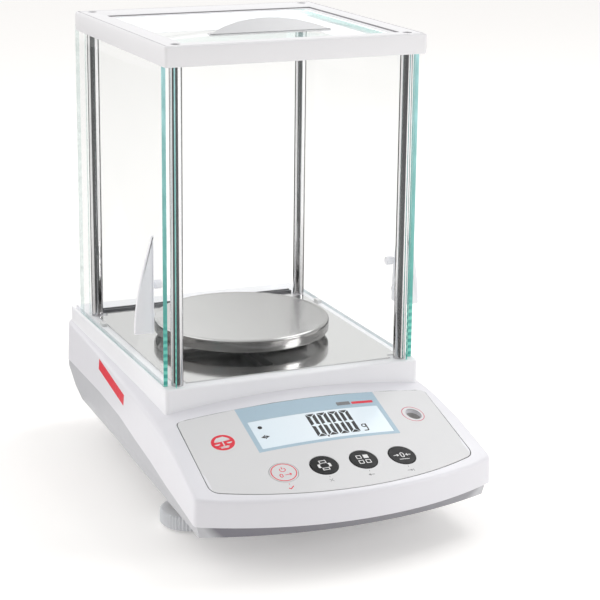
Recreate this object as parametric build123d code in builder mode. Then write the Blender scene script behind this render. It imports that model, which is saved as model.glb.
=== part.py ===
from build123d import *
import math
import os

# ---------------------------------------------------------------------------
# Top-loading analytical balance with a glass draft shield.
# Frame: +Z up, front of the balance towards -Y, its right side towards +X.
# Origin: under the middle of the overall outline, on the surface it stands on.
# All lengths in millimetres.
# ---------------------------------------------------------------------------

# base, plan
HALF_W_FRONT = 99.6        # half width at the front corners, at the parting line
HALF_W_REAR = 91.6         # half width at the rear
Y_FRONT = -158.5           # foremost point of the bowed front
Y_CORNER = -134.5          # front corners
Y_REAR = 159.06            # at the foot of the drafted wall; 158.5 at the parting line
DRAFT = 2.0                # moulding draft of the upper housing walls
WALL = 2.5

# sloping control panel: chord plane through x = +-86, crowned across the width
PANEL_ANGLE = math.degrees(math.atan(0.329))
PANEL_Y0 = -134.5
PANEL_Z0 = 47.86
CROWN_R = 620.0
CROWN_HALF = 86.0

# plinth under the weighing chamber
PLINTH_HALF_W = 88.2
PLINTH_Y0 = -53.5
PLINTH_Y1 = 153.7
PLINTH_Z = 87.6

# draft shield
FRAME_HALF_W = 87.8
FRAME_Y0 = -54.9
FRAME_Y1 = 130.4
FRAME_Z0 = 290.2
FRAME_Z1 = 303.0
OPEN_HALF_W = 70.0
OPEN_Y0 = -37.9
OPEN_Y1 = 95.0
POST_R = 4.0
POST_X = 77.8
POST_Y0 = -45.6
POST_Y1 = 121.4
DOOR_IN = 84.1
DOOR_OUT = 86.9
DOOR_Y0 = -45.7
DOOR_Y1 = 133.0
DOOR_Z0 = 85.4
DOOR_Z1 = 293.8
FRONT_GLASS_Y = (-52.3, -50.3)
REAR_GLASS_Y = (126.1, 128.1)
TOP_GLASS_Z = (298.5, 301.2)
HANDLE_Y = -20.5           # handle screw, through the door glass
HANDLE_Z = 147.5

# pan
PAN_R = 60.0
PAN_Y = 40.4
PAN_TOP = 101.8
PAN_SKIRT = 8.5

# panel features, in panel coordinates (x, distance up the slope)
KEY_X = (-40.6, -14.2, 12.2, 38.6)
KEY_V = 5.9
KEY_R = 8.9
KEY_TRAVEL = 0.6
LEVEL_X, LEVEL_V = 66.2, 46.3
LEVEL_R = 5.2
WINDOW = (-44.6, 44.6, 30.2, 57.3)

# feet
FOOT_X, FOOT_Y = 76.0, -62.0
WHEEL_R = 19.0
WHEEL_Z = (2.0, 11.4)
REAR_FOOT = (42.0, 112.0)

os.makedirs("parts", exist_ok=True)

ca = math.cos(math.radians(PANEL_ANGLE))
sa = math.sin(math.radians(PANEL_ANGLE))
PANEL = Plane(origin=(0, PANEL_Y0, PANEL_Z0), x_dir=(1, 0, 0), z_dir=(0, -sa, ca))
SECTION = Plane(origin=(0, PANEL_Y0 - 40 * ca, PANEL_Z0 - 40 * sa), x_dir=(1, 0, 0), z_dir=(0, ca, sa))


def crown(x):
    """Height of the crowned panel above its chord plane, at x."""
    return math.sqrt(CROWN_R ** 2 - x ** 2) - math.sqrt(CROWN_R ** 2 - CROWN_HALF ** 2)


# side profile of the housing top: beside the panel (x = 86) and at the side edge (x = 101)
STATIONS = (-166.0, -119.0, -94.0, -67.2, -53.0, -24.0, 21.0, 69.0, 162.0)
TOP_AT_86 = (37.5, 53.0, 61.2, 70.0, 71.8, 73.0, 74.5, 75.5, 77.0)
TOP_AT_101 = (36.2, 51.7, 58.9, 62.8, 64.2, 66.4, 68.8, 71.0, 74.0)
# parting line between the white upper and the grey lower housing
PARTING = ((-170.0, 29.0), (-134.5, 29.6), (-108.0, 32.6), (-78.0, 35.5), (-46.5, 39.7), (-15.0, 42.6),
           (22.0, 46.8), (70.0, 48.4), (147.0, 47.4), (170.0, 45.4))


def plan_outline(inset, bow=0.0):
    """Closed plan outline of the base: tapered sides, bowed front, square rear."""
    a, b = HALF_W_FRONT - inset, HALF_W_REAR - inset
    yf, yc, yr = Y_FRONT + inset + bow, Y_CORNER + inset * 0.8, Y_REAR - inset
    with BuildLine() as ln:
        ThreePointArc((-a, yc), (0, yf), (a, yc))
        Line((a, yc), (b, yr))
        Line((b, yr), (-b, yr))
        Line((-b, yr), (-a, yc))
    return ln.line


def housing_body(inset, drop):
    """Outer form of the upper housing, without its plinth, lowered and inset for the cavity."""
    with BuildPart() as body:
        with BuildSketch(SECTION):
            with BuildLine():
                ThreePointArc((-CROWN_HALF, drop), (0, drop - crown(0)), (CROWN_HALF, drop))
                Line((CROWN_HALF, drop), (CROWN_HALF, 90))
                Line((CROWN_HALF, 90), (-CROWN_HALF, 90))
                Line((-CROWN_HALF, 90), (-CROWN_HALF, drop))
            make_face()
        extrude(amount=40 + 72.5)
        with BuildSketch(Plane.YZ):
            with BuildLine():
                Polyline([(y, z - drop) for y, z in zip(STATIONS, TOP_AT_86)]
                         + [(162, 20), (-166, 20)], close=True)
            make_face()
        extrude(amount=CROWN_HALF, both=True)
        # crowned band between the film and the plinth, rising less steeply
        for yb, zb in ((68.0, 69.7), (52.0, 71.9)):
            with BuildSketch(Plane.XZ.offset(yb)):
                with BuildLine():
                    ThreePointArc((-CROWN_HALF, zb - drop), (0, zb - drop + 6.3), (CROWN_HALF, zb - drop))
                    Line((CROWN_HALF, zb - drop), (CROWN_HALF, 22))
                    Line((CROWN_HALF, 22), (-CROWN_HALF, 22))
                    Line((-CROWN_HALF, 22), (-CROWN_HALF, zb - drop))
                make_face()
        loft(ruled=True)
        for side in (1, -1):
            with BuildSketch(Plane.YZ.offset(side * CROWN_HALF)):
                with BuildLine():
                    Polyline([(y, z - drop) for y, z in zip(STATIONS, TOP_AT_86)]
                             + [(162, 20), (-166, 20)], close=True)
                make_face()
            with BuildSketch(Plane.YZ.offset(side * 101.0)):
                with BuildLine():
                    Polyline([(y, z - drop) for y, z in zip(STATIONS, TOP_AT_101)]
                             + [(162, 20), (-166, 20)], close=True)
                make_face()
            loft(ruled=True)
        with BuildSketch(Plane.XY.offset(20)):
            with BuildLine():
                add(plan_outline(inset - 0.35))
            make_face()
        extrude(amount=75, taper=DRAFT, mode=Mode.INTERSECT)
    return body.part


def above_parting(offset):
    """Everything above the parting line."""
    with BuildPart() as p:
        with BuildSketch(Plane.YZ):
            with BuildLine():
                Polyline([(y, z + offset) for y, z in PARTING] + [(170, 130), (-170, 130)], close=True)
            make_face()
        extrude(amount=120, both=True)
    return p.part


def overlay_outline(grow):
    """Outline of the control panel film, in panel coordinates."""
    with BuildLine() as ln:
        ThreePointArc((-87.8 - grow, 3.2 - grow), (0, -18.0 - grow), (87.8 + grow, 3.2 - grow))
        Line((87.8 + grow, 3.2 - grow), (86.0 + grow, 71.8 + grow))
        Line((86.0 + grow, 71.8 + grow), (-86.0 - grow, 71.8 + grow))
        Line((-86.0 - grow, 71.8 + grow), (-87.8 - grow, 3.2 - grow))
    return ln.line


def crown_band(n_low, n_high):
    """Slab that follows the crowned panel, between two heights over its surface."""
    with BuildPart() as band:
        with BuildSketch(SECTION):
            with BuildLine():
                ThreePointArc((-95, -n_high - crown(95)), (0, -n_high - crown(0)), (95, -n_high - crown(95)))
                Line((95, -n_high - crown(95)), (95, -n_low - crown(95)))
                ThreePointArc((95, -n_low - crown(95)), (0, -n_low - crown(0)), (-95, -n_low - crown(95)))
                Line((-95, -n_low - crown(95)), (-95, -n_high - crown(95)))
            make_face()
        extrude(amount=40 + 90)
    return band.part


def key_plane(x, height):
    """Plane over a key, tilted with the crown; its normal is the key's travel axis."""
    tilt = math.asin(x / CROWN_R)
    n = (math.sin(tilt), -sa * math.cos(tilt), ca * math.cos(tilt))
    base = PANEL.from_local_coords((x, KEY_V, crown(x)))
    o = (base.X + n[0] * height, base.Y + n[1] * height, base.Z + n[2] * height)
    return Plane(origin=o, x_dir=(math.cos(tilt), sa * math.sin(tilt), -ca * math.sin(tilt)), z_dir=n)


level_pt = PANEL.from_local_coords((LEVEL_X, LEVEL_V, crown(LEVEL_X)))
housing_outer = housing_body(0.0, 0.0)
housing_inner = housing_body(WALL, WALL)
upper_region = above_parting(0.0)

SCREW_SPOTS = [(-75, -116), (75, -116), (-80, 20), (80, 20), (-76, 88), (76, 88)]
BOSS_TOPS = (52.8, 52.8, 73.0, 73.0, 74.5, 74.5)


def floor_z(y):
    """Underside of the lower housing at y."""
    return 20.4 + (y + 170) / 170 * 1.8 if y < 0 else min(22.2 + y / 40 * 1.8, 24.0)


DB9_X, DB9_Z = -44.0, 60.5
JACK_X, JACK_Z = 42.0, 60.5
LOCK_X = 70.0

# ---------------------------------------------------------------- upper housing
with BuildPart() as upper_housing:
    add(housing_outer)
    with BuildSketch(Plane.XY.offset(60)):
        with Locations((0, (PLINTH_Y0 + PLINTH_Y1) / 2)):
            RectangleRounded(2 * PLINTH_HALF_W, PLINTH_Y1 - PLINTH_Y0, 2.5)
    extrude(amount=PLINTH_Z - 60)
    add(upper_region, mode=Mode.INTERSECT)
    # soft front edge of the panel and rounded plinth rim
    plinth_rim = upper_housing.edges().filter_by_position(Axis.Z, PLINTH_Z - 0.01, PLINTH_Z + 0.01)
    fillet(plinth_rim, 1.0)
    # cavity
    add(housing_inner, mode=Mode.SUBTRACT)
    with BuildSketch(Plane.XY.offset(50)):
        with Locations((0, 38.5)):
            Rectangle(2 * 71, 153)
    extrude(amount=34.8, mode=Mode.SUBTRACT)
    # recess for the film, display opening, key holes, level hole
    with BuildSketch(PANEL):
        with BuildLine():
            add(overlay_outline(0.15))
        make_face()
        with Locations((0, (WINDOW[2] + WINDOW[3]) / 2)):
            Rectangle(WINDOW[1] - WINDOW[0] + 1.0, WINDOW[3] - WINDOW[2] + 1.0, mode=Mode.SUBTRACT)
    recess = extrude(amount=20, both=True, mode=Mode.PRIVATE)
    recess_cut = recess & crown_band(-0.5, 12.0)
    add(recess_cut, mode=Mode.SUBTRACT)
    with BuildSketch(PANEL):
        with Locations((0, (WINDOW[2] + WINDOW[3]) / 2)):
            Rectangle(WINDOW[1] - WINDOW[0] + 1.0, WINDOW[3] - WINDOW[2] + 1.0)
    extrude(amount=12, both=True, mode=Mode.SUBTRACT)
    for kx in KEY_X:
        with BuildSketch(key_plane(kx, 4)):
            Circle(KEY_R + 0.35)
        extrude(amount=-12, mode=Mode.SUBTRACT)
    with BuildSketch(Plane.XY.offset(level_pt.Z - 12)):
        with Locations((LEVEL_X, level_pt.Y)):
            Circle(LEVEL_R + 2.6)
    extrude(amount=9.0 - 4.3, mode=Mode.SUBTRACT)
    with BuildSketch(Plane.XY.offset(level_pt.Z - 12)):
        with Locations((LEVEL_X, level_pt.Y)):
            Circle(LEVEL_R)
    extrude(amount=20, mode=Mode.SUBTRACT)
    # tracks of the side doors, open to the rear
    for side in (1, -1):
        with BuildSketch(Plane.XY.offset(PLINTH_Z)):
            with Locations((side * (DOOR_IN + DOOR_OUT) / 2, (DOOR_Y0 - 0.4 + 170) / 2)):
                Rectangle(DOOR_OUT - DOOR_IN + 0.5, 170 - DOOR_Y0 + 0.4)
        extrude(amount=-2.5, mode=Mode.SUBTRACT)
    # grooves of the fixed panes
    with BuildSketch(Plane.XY.offset(PLINTH_Z)):
        with Locations((0, sum(FRONT_GLASS_Y) / 2)):
            Rectangle(162.2, 2.3)
        with Locations((0, sum(REAR_GLASS_Y) / 2)):
            Rectangle(163.8, 2.3)
    extrude(amount=-3.0, mode=Mode.SUBTRACT)
    # post sockets
    with BuildSketch(Plane.XY.offset(PLINTH_Z)):
        with Locations((-POST_X, POST_Y0), (POST_X, POST_Y0), (-POST_X, POST_Y1), (POST_X, POST_Y1)):
            Circle(POST_R + 0.05)
    extrude(amount=-7.6, mode=Mode.SUBTRACT)
    # stem hole in the chamber floor
    with BuildSketch(Plane.XY.offset(PLINTH_Z)):
        with Locations((0, PAN_Y)):
            Circle(13.0)
    extrude(amount=-6, mode=Mode.SUBTRACT)
    # screw bosses that meet those of the lower housing, and the display board's bosses
    for (bx, by), top in zip(SCREW_SPOTS, BOSS_TOPS):
        with BuildSketch(Plane.XY.offset(floor_z(by) + 9.0)):
            with Locations((bx, by)):
                Circle(3.8)
                Circle(1.25, mode=Mode.SUBTRACT)
        extrude(amount=top - floor_z(by) - 9.0)
    with BuildSketch(PANEL.offset(-9.0)):
        with Locations((-62, 50), (-62, 0), (62, 0)):
            Circle(2.4)
    extrude(amount=10.0)
    # port cut-outs in the rear wall
    with BuildSketch(Plane.XZ.offset(-165)):
        with Locations((DB9_X, DB9_Z)):
            Rectangle(31.4, 13.0)
        with Locations((JACK_X, JACK_Z)):
            Rectangle(14.2, 11.2)
        with Locations((LOCK_X, 62)):
            Rectangle(9.0, 12.0)
    extrude(amount=14, mode=Mode.SUBTRACT)
upper_housing.part.label = "upper_housing"

# ---------------------------------------------------------------- lower housing
with BuildPart() as lower_housing:
    with BuildSketch(Plane.XY.offset(20.4)):
        with BuildLine():
            add(plan_outline(4.4, bow=6.8))
        make_face()
    with BuildSketch(Plane.XY.offset(31.0)):
        with BuildLine():
            add(plan_outline(2.2))
        make_face()
    loft(ruled=True)
    with BuildSketch(Plane.XY.offset(31.0)):
        with BuildLine():
            add(plan_outline(2.2))
        make_face()
    extrude(amount=20)
    add(upper_region, mode=Mode.SUBTRACT)
    # rising rear end and slightly rising floor
    with BuildSketch(Plane.YZ):
        with BuildLine():
            Polyline([(-170, 10), (-170, 20.4), (0, 22.2), (40, 24.0), (127, 24.0), (162, 44.2), (180, 44.2), (180, 10)], close=True)
        make_face()
    extrude(amount=120, both=True, mode=Mode.SUBTRACT)
    # cavity
    with BuildPart(mode=Mode.PRIVATE) as low_cavity:
        with BuildSketch(Plane.XY.offset(15)):
            with BuildLine():
                add(plan_outline(7.0, bow=6.0))
            make_face()
        extrude(amount=45)
        with BuildSketch(Plane.YZ):
            with BuildLine():
                Polyline([(-170, 23.2), (0, 25.0), (40, 26.8), (126, 26.8), (152.6, 42.1), (152.6, 60), (-170, 60)], close=True)
            make_face()
        extrude(amount=120, both=True, mode=Mode.INTERSECT)
    add(low_cavity.part, mode=Mode.SUBTRACT)
    # bosses of the levelling feet
    with BuildSketch(Plane.XY.offset(22.0)):
        with Locations((-FOOT_X, FOOT_Y), (FOOT_X, FOOT_Y)):
            Circle(8.0)
    extrude(amount=20.0)
    with BuildSketch(Plane.XY.offset(15.0)):
        with Locations((-FOOT_X, FOOT_Y), (FOOT_X, FOOT_Y)):
            Circle(4.52)
    extrude(amount=24.0, mode=Mode.SUBTRACT)
    with BuildSketch(Plane.XY.offset(38.5)):
        with Locations((-FOOT_X, FOOT_Y), (FOOT_X, FOOT_Y)):
            Circle(3.4)
    extrude(amount=4.0, mode=Mode.SUBTRACT)
    # rear foot bosses with a pocket for the rubber pad
    with BuildSketch(Plane.XY.offset(3.0)):
        with Locations((-REAR_FOOT[0], REAR_FOOT[1]), (REAR_FOOT[0], REAR_FOOT[1])):
            Circle(12.0)
    extrude(amount=21.5)
    with BuildSketch(Plane.XY.offset(0.0)):
        with Locations((-REAR_FOOT[0], REAR_FOOT[1]), (REAR_FOOT[0], REAR_FOOT[1])):
            Circle(9.0)
    extrude(amount=5.0, mode=Mode.SUBTRACT)
    # standoffs of the main board and of the cell mounting plate
    with BuildSketch(Plane.XY.offset(22.0)):
        with Locations((-54, -118), (54, -118), (-54, -66), (54, -66)):
            Circle(3.0)
    extrude(amount=6.0)
    with BuildSketch(Plane.XY.offset(24.5)):
        with Locations((-36, 22), (36, 22), (-36, 118), (36, 118)):
            Circle(4.0)
    extrude(amount=3.5)
    # flat pad around the weigh-below opening
    with BuildSketch(Plane.XY.offset(22.9)):
        with Locations((0, PAN_Y)):
            Circle(13.0)
        with Locations((0, PAN_Y - 20)):
            Circle(6.5)
    extrude(amount=2.6)
    # weigh-below opening under the pan
    with BuildSketch(Plane.XY.offset(20.0)):
        with Locations((0, PAN_Y)):
            Circle(9.0)
    extrude(amount=10.0, mode=Mode.SUBTRACT)
    with BuildSketch(Plane.XY.offset(20.0)):
        with Locations((0, PAN_Y - 20)):
            Circle(1.6)
    extrude(amount=10.0, mode=Mode.SUBTRACT)
    # assembly screw bosses with counterbored holes
    for bx, by in SCREW_SPOTS:
        with BuildSketch(Plane.XY.offset(floor_z(by) + 1.0)):
            with Locations((bx, by)):
                Circle(5.0)
        extrude(amount=7.8)
        with BuildSketch(Plane.XY.offset(floor_z(by) - 2.0)):
            with Locations((bx, by)):
                Circle(3.3)
        extrude(amount=4.2, mode=Mode.SUBTRACT)
        with BuildSketch(Plane.XY.offset(floor_z(by) - 2.0)):
            with Locations((bx, by)):
                Circle(1.7)
        extrude(amount=12, mode=Mode.SUBTRACT)
    # cooling slots
    with BuildSketch(Plane.XY.offset(18.0)):
        with Locations(*[(x, -95) for x in range(-30, 31, 6)]):
            SlotOverall(22, 2.4, rotation=90)
    extrude(amount=9, mode=Mode.SUBTRACT)
lower_housing.part.label = "lower_housing"

with BuildPart() as housing_screws:
    for sx, sy in SCREW_SPOTS:
        with BuildSketch(Plane.XY.offset(floor_z(sy) + 0.6)):
            with Locations((sx, sy)):
                Circle(2.9)
        extrude(amount=1.5)
        with BuildSketch(Plane.XY.offset(floor_z(sy) + 2.1)):
            with Locations((sx, sy)):
                Circle(1.2)
        extrude(amount=14)
        with BuildSketch(Plane.XY.offset(floor_z(sy) + 0.6)):
            with Locations((sx, sy)):
                Rectangle(3.4, 0.8)
                Rectangle(0.8, 3.4)
        extrude(amount=0.8, mode=Mode.SUBTRACT)
housing_screws.part.label = "housing_screws"

# ---------------------------------------------------------------- control panel film
with BuildPart() as control_overlay:
    add(crown_band(-0.5, 0.1))
    with BuildSketch(PANEL):
        with BuildLine():
            add(overlay_outline(0.0))
        make_face()
        with Locations((0, (WINDOW[2] + WINDOW[3]) / 2)):
            Rectangle(WINDOW[1] - WINDOW[0] + 0.2, WINDOW[3] - WINDOW[2] + 0.2, mode=Mode.SUBTRACT)
    extrude(amount=20, both=True, mode=Mode.INTERSECT)
    for kx in KEY_X:
        with BuildSketch(key_plane(kx, 4)):
            Circle(KEY_R + 0.25)
        extrude(amount=-12, mode=Mode.SUBTRACT)
    with BuildSketch(Plane.XY.offset(level_pt.Z - 12)):
        with Locations((LEVEL_X, level_pt.Y)):
            Circle(LEVEL_R)
    extrude(amount=24, mode=Mode.SUBTRACT)
control_overlay.part.label = "control_overlay"

with BuildPart() as display_window:
    add(crown_band(-1.8, 0.05))
    with BuildSketch(PANEL):
        with Locations((0, (WINDOW[2] + WINDOW[3]) / 2)):
            Rectangle(WINDOW[1] - WINDOW[0], WINDOW[3] - WINDOW[2])
    extrude(amount=20, both=True, mode=Mode.INTERSECT)
display_window.part.label = "display_window"

mid_v = (WINDOW[2] + WINDOW[3]) / 2
with BuildPart() as lcd_module:
    with BuildSketch(PANEL.offset(-6.8)):
        with Locations((0, mid_v)):
            Rectangle(88.0, 26.4)
    extrude(amount=9.0)
lcd_module.part.label = "lcd_module"

with BuildPart() as display_board:
    with BuildSketch(PANEL.offset(-10.6)):
        with Locations((0, 24)):
            Rectangle(132.0, 64.0)
        with Locations((LEVEL_X, LEVEL_V)):
            Rectangle(29, 29, mode=Mode.SUBTRACT)
    extrude(amount=1.6)
    # backlight frame under the display and the four key switches
    with BuildSketch(PANEL.offset(-9.0)):
        with Locations((0, mid_v)):
            Rectangle(92.0, 30.0)
    extrude(amount=2.1)
display_board.part.label = "display_board"

with BuildPart() as key_switches:
    for kx in KEY_X:
        with BuildSketch(PANEL.offset(-9.0)):
            with Locations((kx, KEY_V)):
                Rectangle(6.2, 6.2)
        extrude(amount=3.5)
        with BuildSketch(PANEL.offset(-5.5)):
            with Locations((kx, KEY_V)):
                Circle(1.75)
        extrude(amount=0.8)
key_switches.part.label = "key_switches"

# ---------------------------------------------------------------- four keys
for name, kx in zip(("key_power_zero", "key_print", "key_function", "key_tare"), KEY_X):
    with BuildPart() as key:
        with BuildSketch(key_plane(kx, 0.35)):
            Circle(KEY_R)
        extrude(amount=-4.0)
        fillet(key.edges().filter_by(GeomType.CIRCLE).sort_by(Axis.Z)[-1], 0.5)
        # retaining flange below the housing skin, then the stem that reaches the switch
        with BuildSketch(key_plane(kx, -2.95)):
            Circle(KEY_R + 1.3)
        extrude(amount=-0.9)
        with BuildSketch(key_plane(kx, -3.6)):
            Circle(2.4)
        extrude(amount=-(crown(kx) + 4.7 - 3.6 - 0.75))
    key.part.label = name
    export_step(key.part, "parts/" + name + ".step")

# ---------------------------------------------------------------- bubble level
lx, ly, lz = LEVEL_X, level_pt.Y, level_pt.Z
with BuildPart() as level_cup:
    with BuildSketch(Plane.XY.offset(lz - 16.0)):
        with Locations((lx, ly)):
            Circle(LEVEL_R + 2.4)
    extrude(amount=8.6)
    with BuildSketch(Plane.XY.offset(lz - 14.5)):
        with Locations((lx, ly)):
            Circle(LEVEL_R - 0.1)
    extrude(amount=8.0, mode=Mode.SUBTRACT)
level_cup.part.label = "level_cup"

with BuildPart() as level_vial:
    with BuildSketch(Plane.XY.offset(lz - 14.4)):
        with Locations((lx, ly)):
            Circle(LEVEL_R - 0.25)
    extrude(amount=6.4)
    with BuildSketch(Plane.XY.offset(lz - 10.6)):
        with Locations((lx, ly)):
            Circle(1.9)
    extrude(amount=1.4, mode=Mode.SUBTRACT)
level_vial.part.label = "level_vial"

with BuildPart() as level_bubble:
    with BuildSketch(Plane.XY.offset(lz - 10.5)):
        with Locations((lx, ly)):
            Circle(1.8)
    extrude(amount=1.2)
    fillet(level_bubble.edges().filter_by(GeomType.CIRCLE), 0.5)
level_bubble.part.label = "level_bubble"

# ---------------------------------------------------------------- electronics and ports
with BuildPart() as main_board:
    with BuildSketch(Plane.XY.offset(28.0)):
        with Locations((0, -92)):
            Rectangle(120, 62)
    extrude(amount=1.6)
    with BuildSketch(Plane.XY.offset(29.6)):
        with Locations((-30, -90), (20, -104)):
            Rectangle(14, 14)
        with Locations((45, -84)):
            Rectangle(18, 10)
    extrude(amount=2.0)
    with BuildSketch(Plane.XY.offset(29.6)):
        with Locations((-52, -72), (-44, -72)):
            Circle(3.2)
    extrude(amount=8.0)
main_board.part.label = "main_board"

with BuildPart() as rs232_port:
    with BuildSketch(Plane.XZ.offset(-157.6)):
        with Locations((DB9_X, DB9_Z)):
            RectangleRounded(30.8, 12.5, 1.0)
    extrude(amount=2.4)
    with BuildSketch(Plane.XZ.offset(-155.2)):
        with Locations((DB9_X, DB9_Z)):
            Rectangle(19.0, 10.6)
    extrude(amount=9.0)
    # D-shaped socket face and the two screw locks
    with BuildSketch(Plane.XZ.offset(-157.6)):
        with Locations((DB9_X, DB9_Z)):
            Rectangle(17.6, 8.6)
            Rectangle(16.2, 7.2, mode=Mode.SUBTRACT)
        with Locations((DB9_X - 12.5, DB9_Z), (DB9_X + 12.5, DB9_Z)):
            Circle(1.4)
    extrude(amount=2.0, mode=Mode.SUBTRACT)
    # contact holes
    with BuildSketch(Plane.XZ.offset(-157.6)):
        with Locations(*[(DB9_X - 5.5 + 2.75 * i, DB9_Z + 1.42) for i in range(5)]):
            Circle(0.55)
        with Locations(*[(DB9_X - 4.1 + 2.75 * i, DB9_Z - 1.42) for i in range(4)]):
            Circle(0.55)
    extrude(amount=5.0, mode=Mode.SUBTRACT)
rs232_port.part.label = "rs232_port"

with BuildPart() as power_jack:
    with BuildSketch(Plane.XZ.offset(-157.4)):
        with Locations((JACK_X, JACK_Z)):
            Rectangle(14.0, 11.0)
    extrude(amount=14.0)
    with BuildSketch(Plane.XZ.offset(-157.4)):
        with Locations((JACK_X, JACK_Z)):
            Circle(3.2)
            Circle(1.05, mode=Mode.SUBTRACT)
    extrude(amount=9.5, mode=Mode.SUBTRACT)
power_jack.part.label = "power_jack"

with BuildPart() as lock_slot:
    with BuildSketch(Plane.XZ.offset(-157.2)):
        with Locations((LOCK_X, 62)):
            Rectangle(8.8, 11.8)
    extrude(amount=3.0)
    with BuildSketch(Plane.XZ.offset(-157.2)):
        with Locations((LOCK_X, 62)):
            SlotOverall(7.0, 3.0, rotation=90)
    extrude(amount=3.0, mode=Mode.SUBTRACT)
lock_slot.part.label = "lock_slot"

# ---------------------------------------------------------------- force cell
with BuildPart() as cell_mount_plate:
    with BuildSketch(Plane.XY.offset(28.0)):
        with Locations((0, 70)):
            Rectangle(84, 112)
        with Locations((0, PAN_Y)):
            Circle(8.0, mode=Mode.SUBTRACT)
    extrude(amount=3.0)
cell_mount_plate.part.label = "cell_mount_plate"

with BuildPart() as cell_frame:
    with BuildSketch(Plane.XY.offset(31.0)):
        with Locations((0, 72)):
            Rectangle(60, 100)
        with Locations((0, PAN_Y)):
            Circle(8.0, mode=Mode.SUBTRACT)
    extrude(amount=5.0)
    # rear tower that carries the guides, with a window for the lever
    with BuildSketch(Plane.XY.offset(36.0)):
        with Locations((0, 88)):
            Rectangle(54, 12)
    extrude(amount=36.0)
    with BuildSketch(Plane.XZ.offset(-80)):
        with Locations((0, 55)):
            Rectangle(26, 22)
    extrude(amount=-16, mode=Mode.SUBTRACT)
    # lever pivot bridge
    with BuildSketch(Plane.XY.offset(36.0)):
        with Locations((0, 60)):
            Rectangle(16, 6)
    extrude(amount=12.0)
cell_frame.part.label = "cell_frame"

for name, gz in (("upper_guide", 68.0), ("lower_guide", 39.5)):
    with BuildPart() as guide:
        with BuildSketch(Plane.XY.offset(gz)):
            with Locations((-19, 64.1), (19, 64.1)):
                Rectangle(8, 34.6)
            with Locations((0, 49.4)):
                Rectangle(46, 5.2)
            with Locations((0, 79.3)):
                Rectangle(46, 5.4)
            with Locations((0, 49.4)):
                Rectangle(10, 5.2, mode=Mode.SUBTRACT)
        extrude(amount=1.6)
        with BuildSketch(Plane.XY.offset(gz)):
            with Locations((0, 49.4)):
                Rectangle(10, 5.2)
        extrude(amount=1.6)
    guide.part.label = name
    export_step(guide.part, "parts/" + name + ".step")

with BuildPart() as load_receiver:
    with BuildSketch(Plane.XY.offset(37.2)):
        with Locations((0, PAN_Y)):
            Rectangle(22, 12)
    extrude(amount=35.0)
    with BuildSketch(Plane.XY.offset(72.2)):
        with Locations((0, PAN_Y)):
            Circle(6.0)
    extrude(amount=10.0)
    # stem and taper for the pan support
    with BuildSketch(Plane.XY.offset(82.2)):
        with Locations((0, PAN_Y)):
            Circle(4.0)
    extrude(amount=8.0)
    with BuildSketch(Plane.XY.offset(90.2)):
        with Locations((0, PAN_Y)):
            Circle(4.0)
    extrude(amount=5.0, taper=8)
    # link pad that meets the lever
    with BuildSketch(Plane.XY.offset(45.0)):
        with Locations((0, PAN_Y + 8.0)):
            Rectangle(10, 5)
    extrude(amount=4.6)
load_receiver.part.label = "load_receiver"

with BuildPart() as weigh_below_hook:
    with BuildSketch(Plane.XY.offset(29.4)):
        with Locations((0, PAN_Y)):
            Circle(2.4)
    extrude(amount=7.8)
    with BuildSketch(Plane.XZ.offset(-PAN_Y)):
        with Locations((0, 28.4)):
            Circle(3.6)
            Circle(2.0, mode=Mode.SUBTRACT)
    extrude(amount=0.9, both=True)
weigh_below_hook.part.label = "weigh_below_hook"

with BuildPart() as weigh_lever:
    with BuildSketch(Plane.XY.offset(50.0)):
        with Locations((0, 84)):
            Rectangle(8, 74)
    extrude(amount=5.0)
    with BuildSketch(Plane.XY.offset(50.0)):
        with Locations((0, 118)):
            Circle(9.0)
    extrude(amount=5.0)
    with BuildSketch(Plane.XY.offset(48.4)):
        with Locations((0, 60)):
            Rectangle(7, 1.0)
    extrude(amount=1.6)
    # slotted flag between the uprights of the position sensor
    with BuildSketch(Plane.XY.offset(50.6)):
        with Locations((0, 131.0)):
            Rectangle(1.6, 11.0)
    extrude(amount=3.6)
weigh_lever.part.label = "weigh_lever"

with BuildPart() as voice_coil:
    with BuildSketch(Plane.XY.offset(42.0)):
        with Locations((0, 118)):
            Circle(9.0)
            Circle(7.6, mode=Mode.SUBTRACT)
    extrude(amount=8.0)
voice_coil.part.label = "voice_coil"

with BuildPart() as magnet_pot:
    with BuildSketch(Plane.XY.offset(36.0)):
        with Locations((0, 118)):
            Circle(17.0)
    extrude(amount=13.0)
    with BuildSketch(Plane.XY.offset(39.0)):
        with Locations((0, 118)):
            Circle(10.2)
            Circle(6.4, mode=Mode.SUBTRACT)
    extrude(amount=10.0, mode=Mode.SUBTRACT)
magnet_pot.part.label = "magnet_pot"

with BuildPart() as position_sensor:
    with BuildSketch(Plane.XY.offset(41.5)):
        with Locations((0, 140.5)):
            Rectangle(14, 4)
    extrude(amount=19.0)
    with BuildSketch(Plane.XY.offset(49.6)):
        with Locations((-5.0, 135.5), (5.0, 135.5)):
            Rectangle(2.5, 6)
    extrude(amount=9.0)
position_sensor.part.label = "position_sensor"

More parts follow.
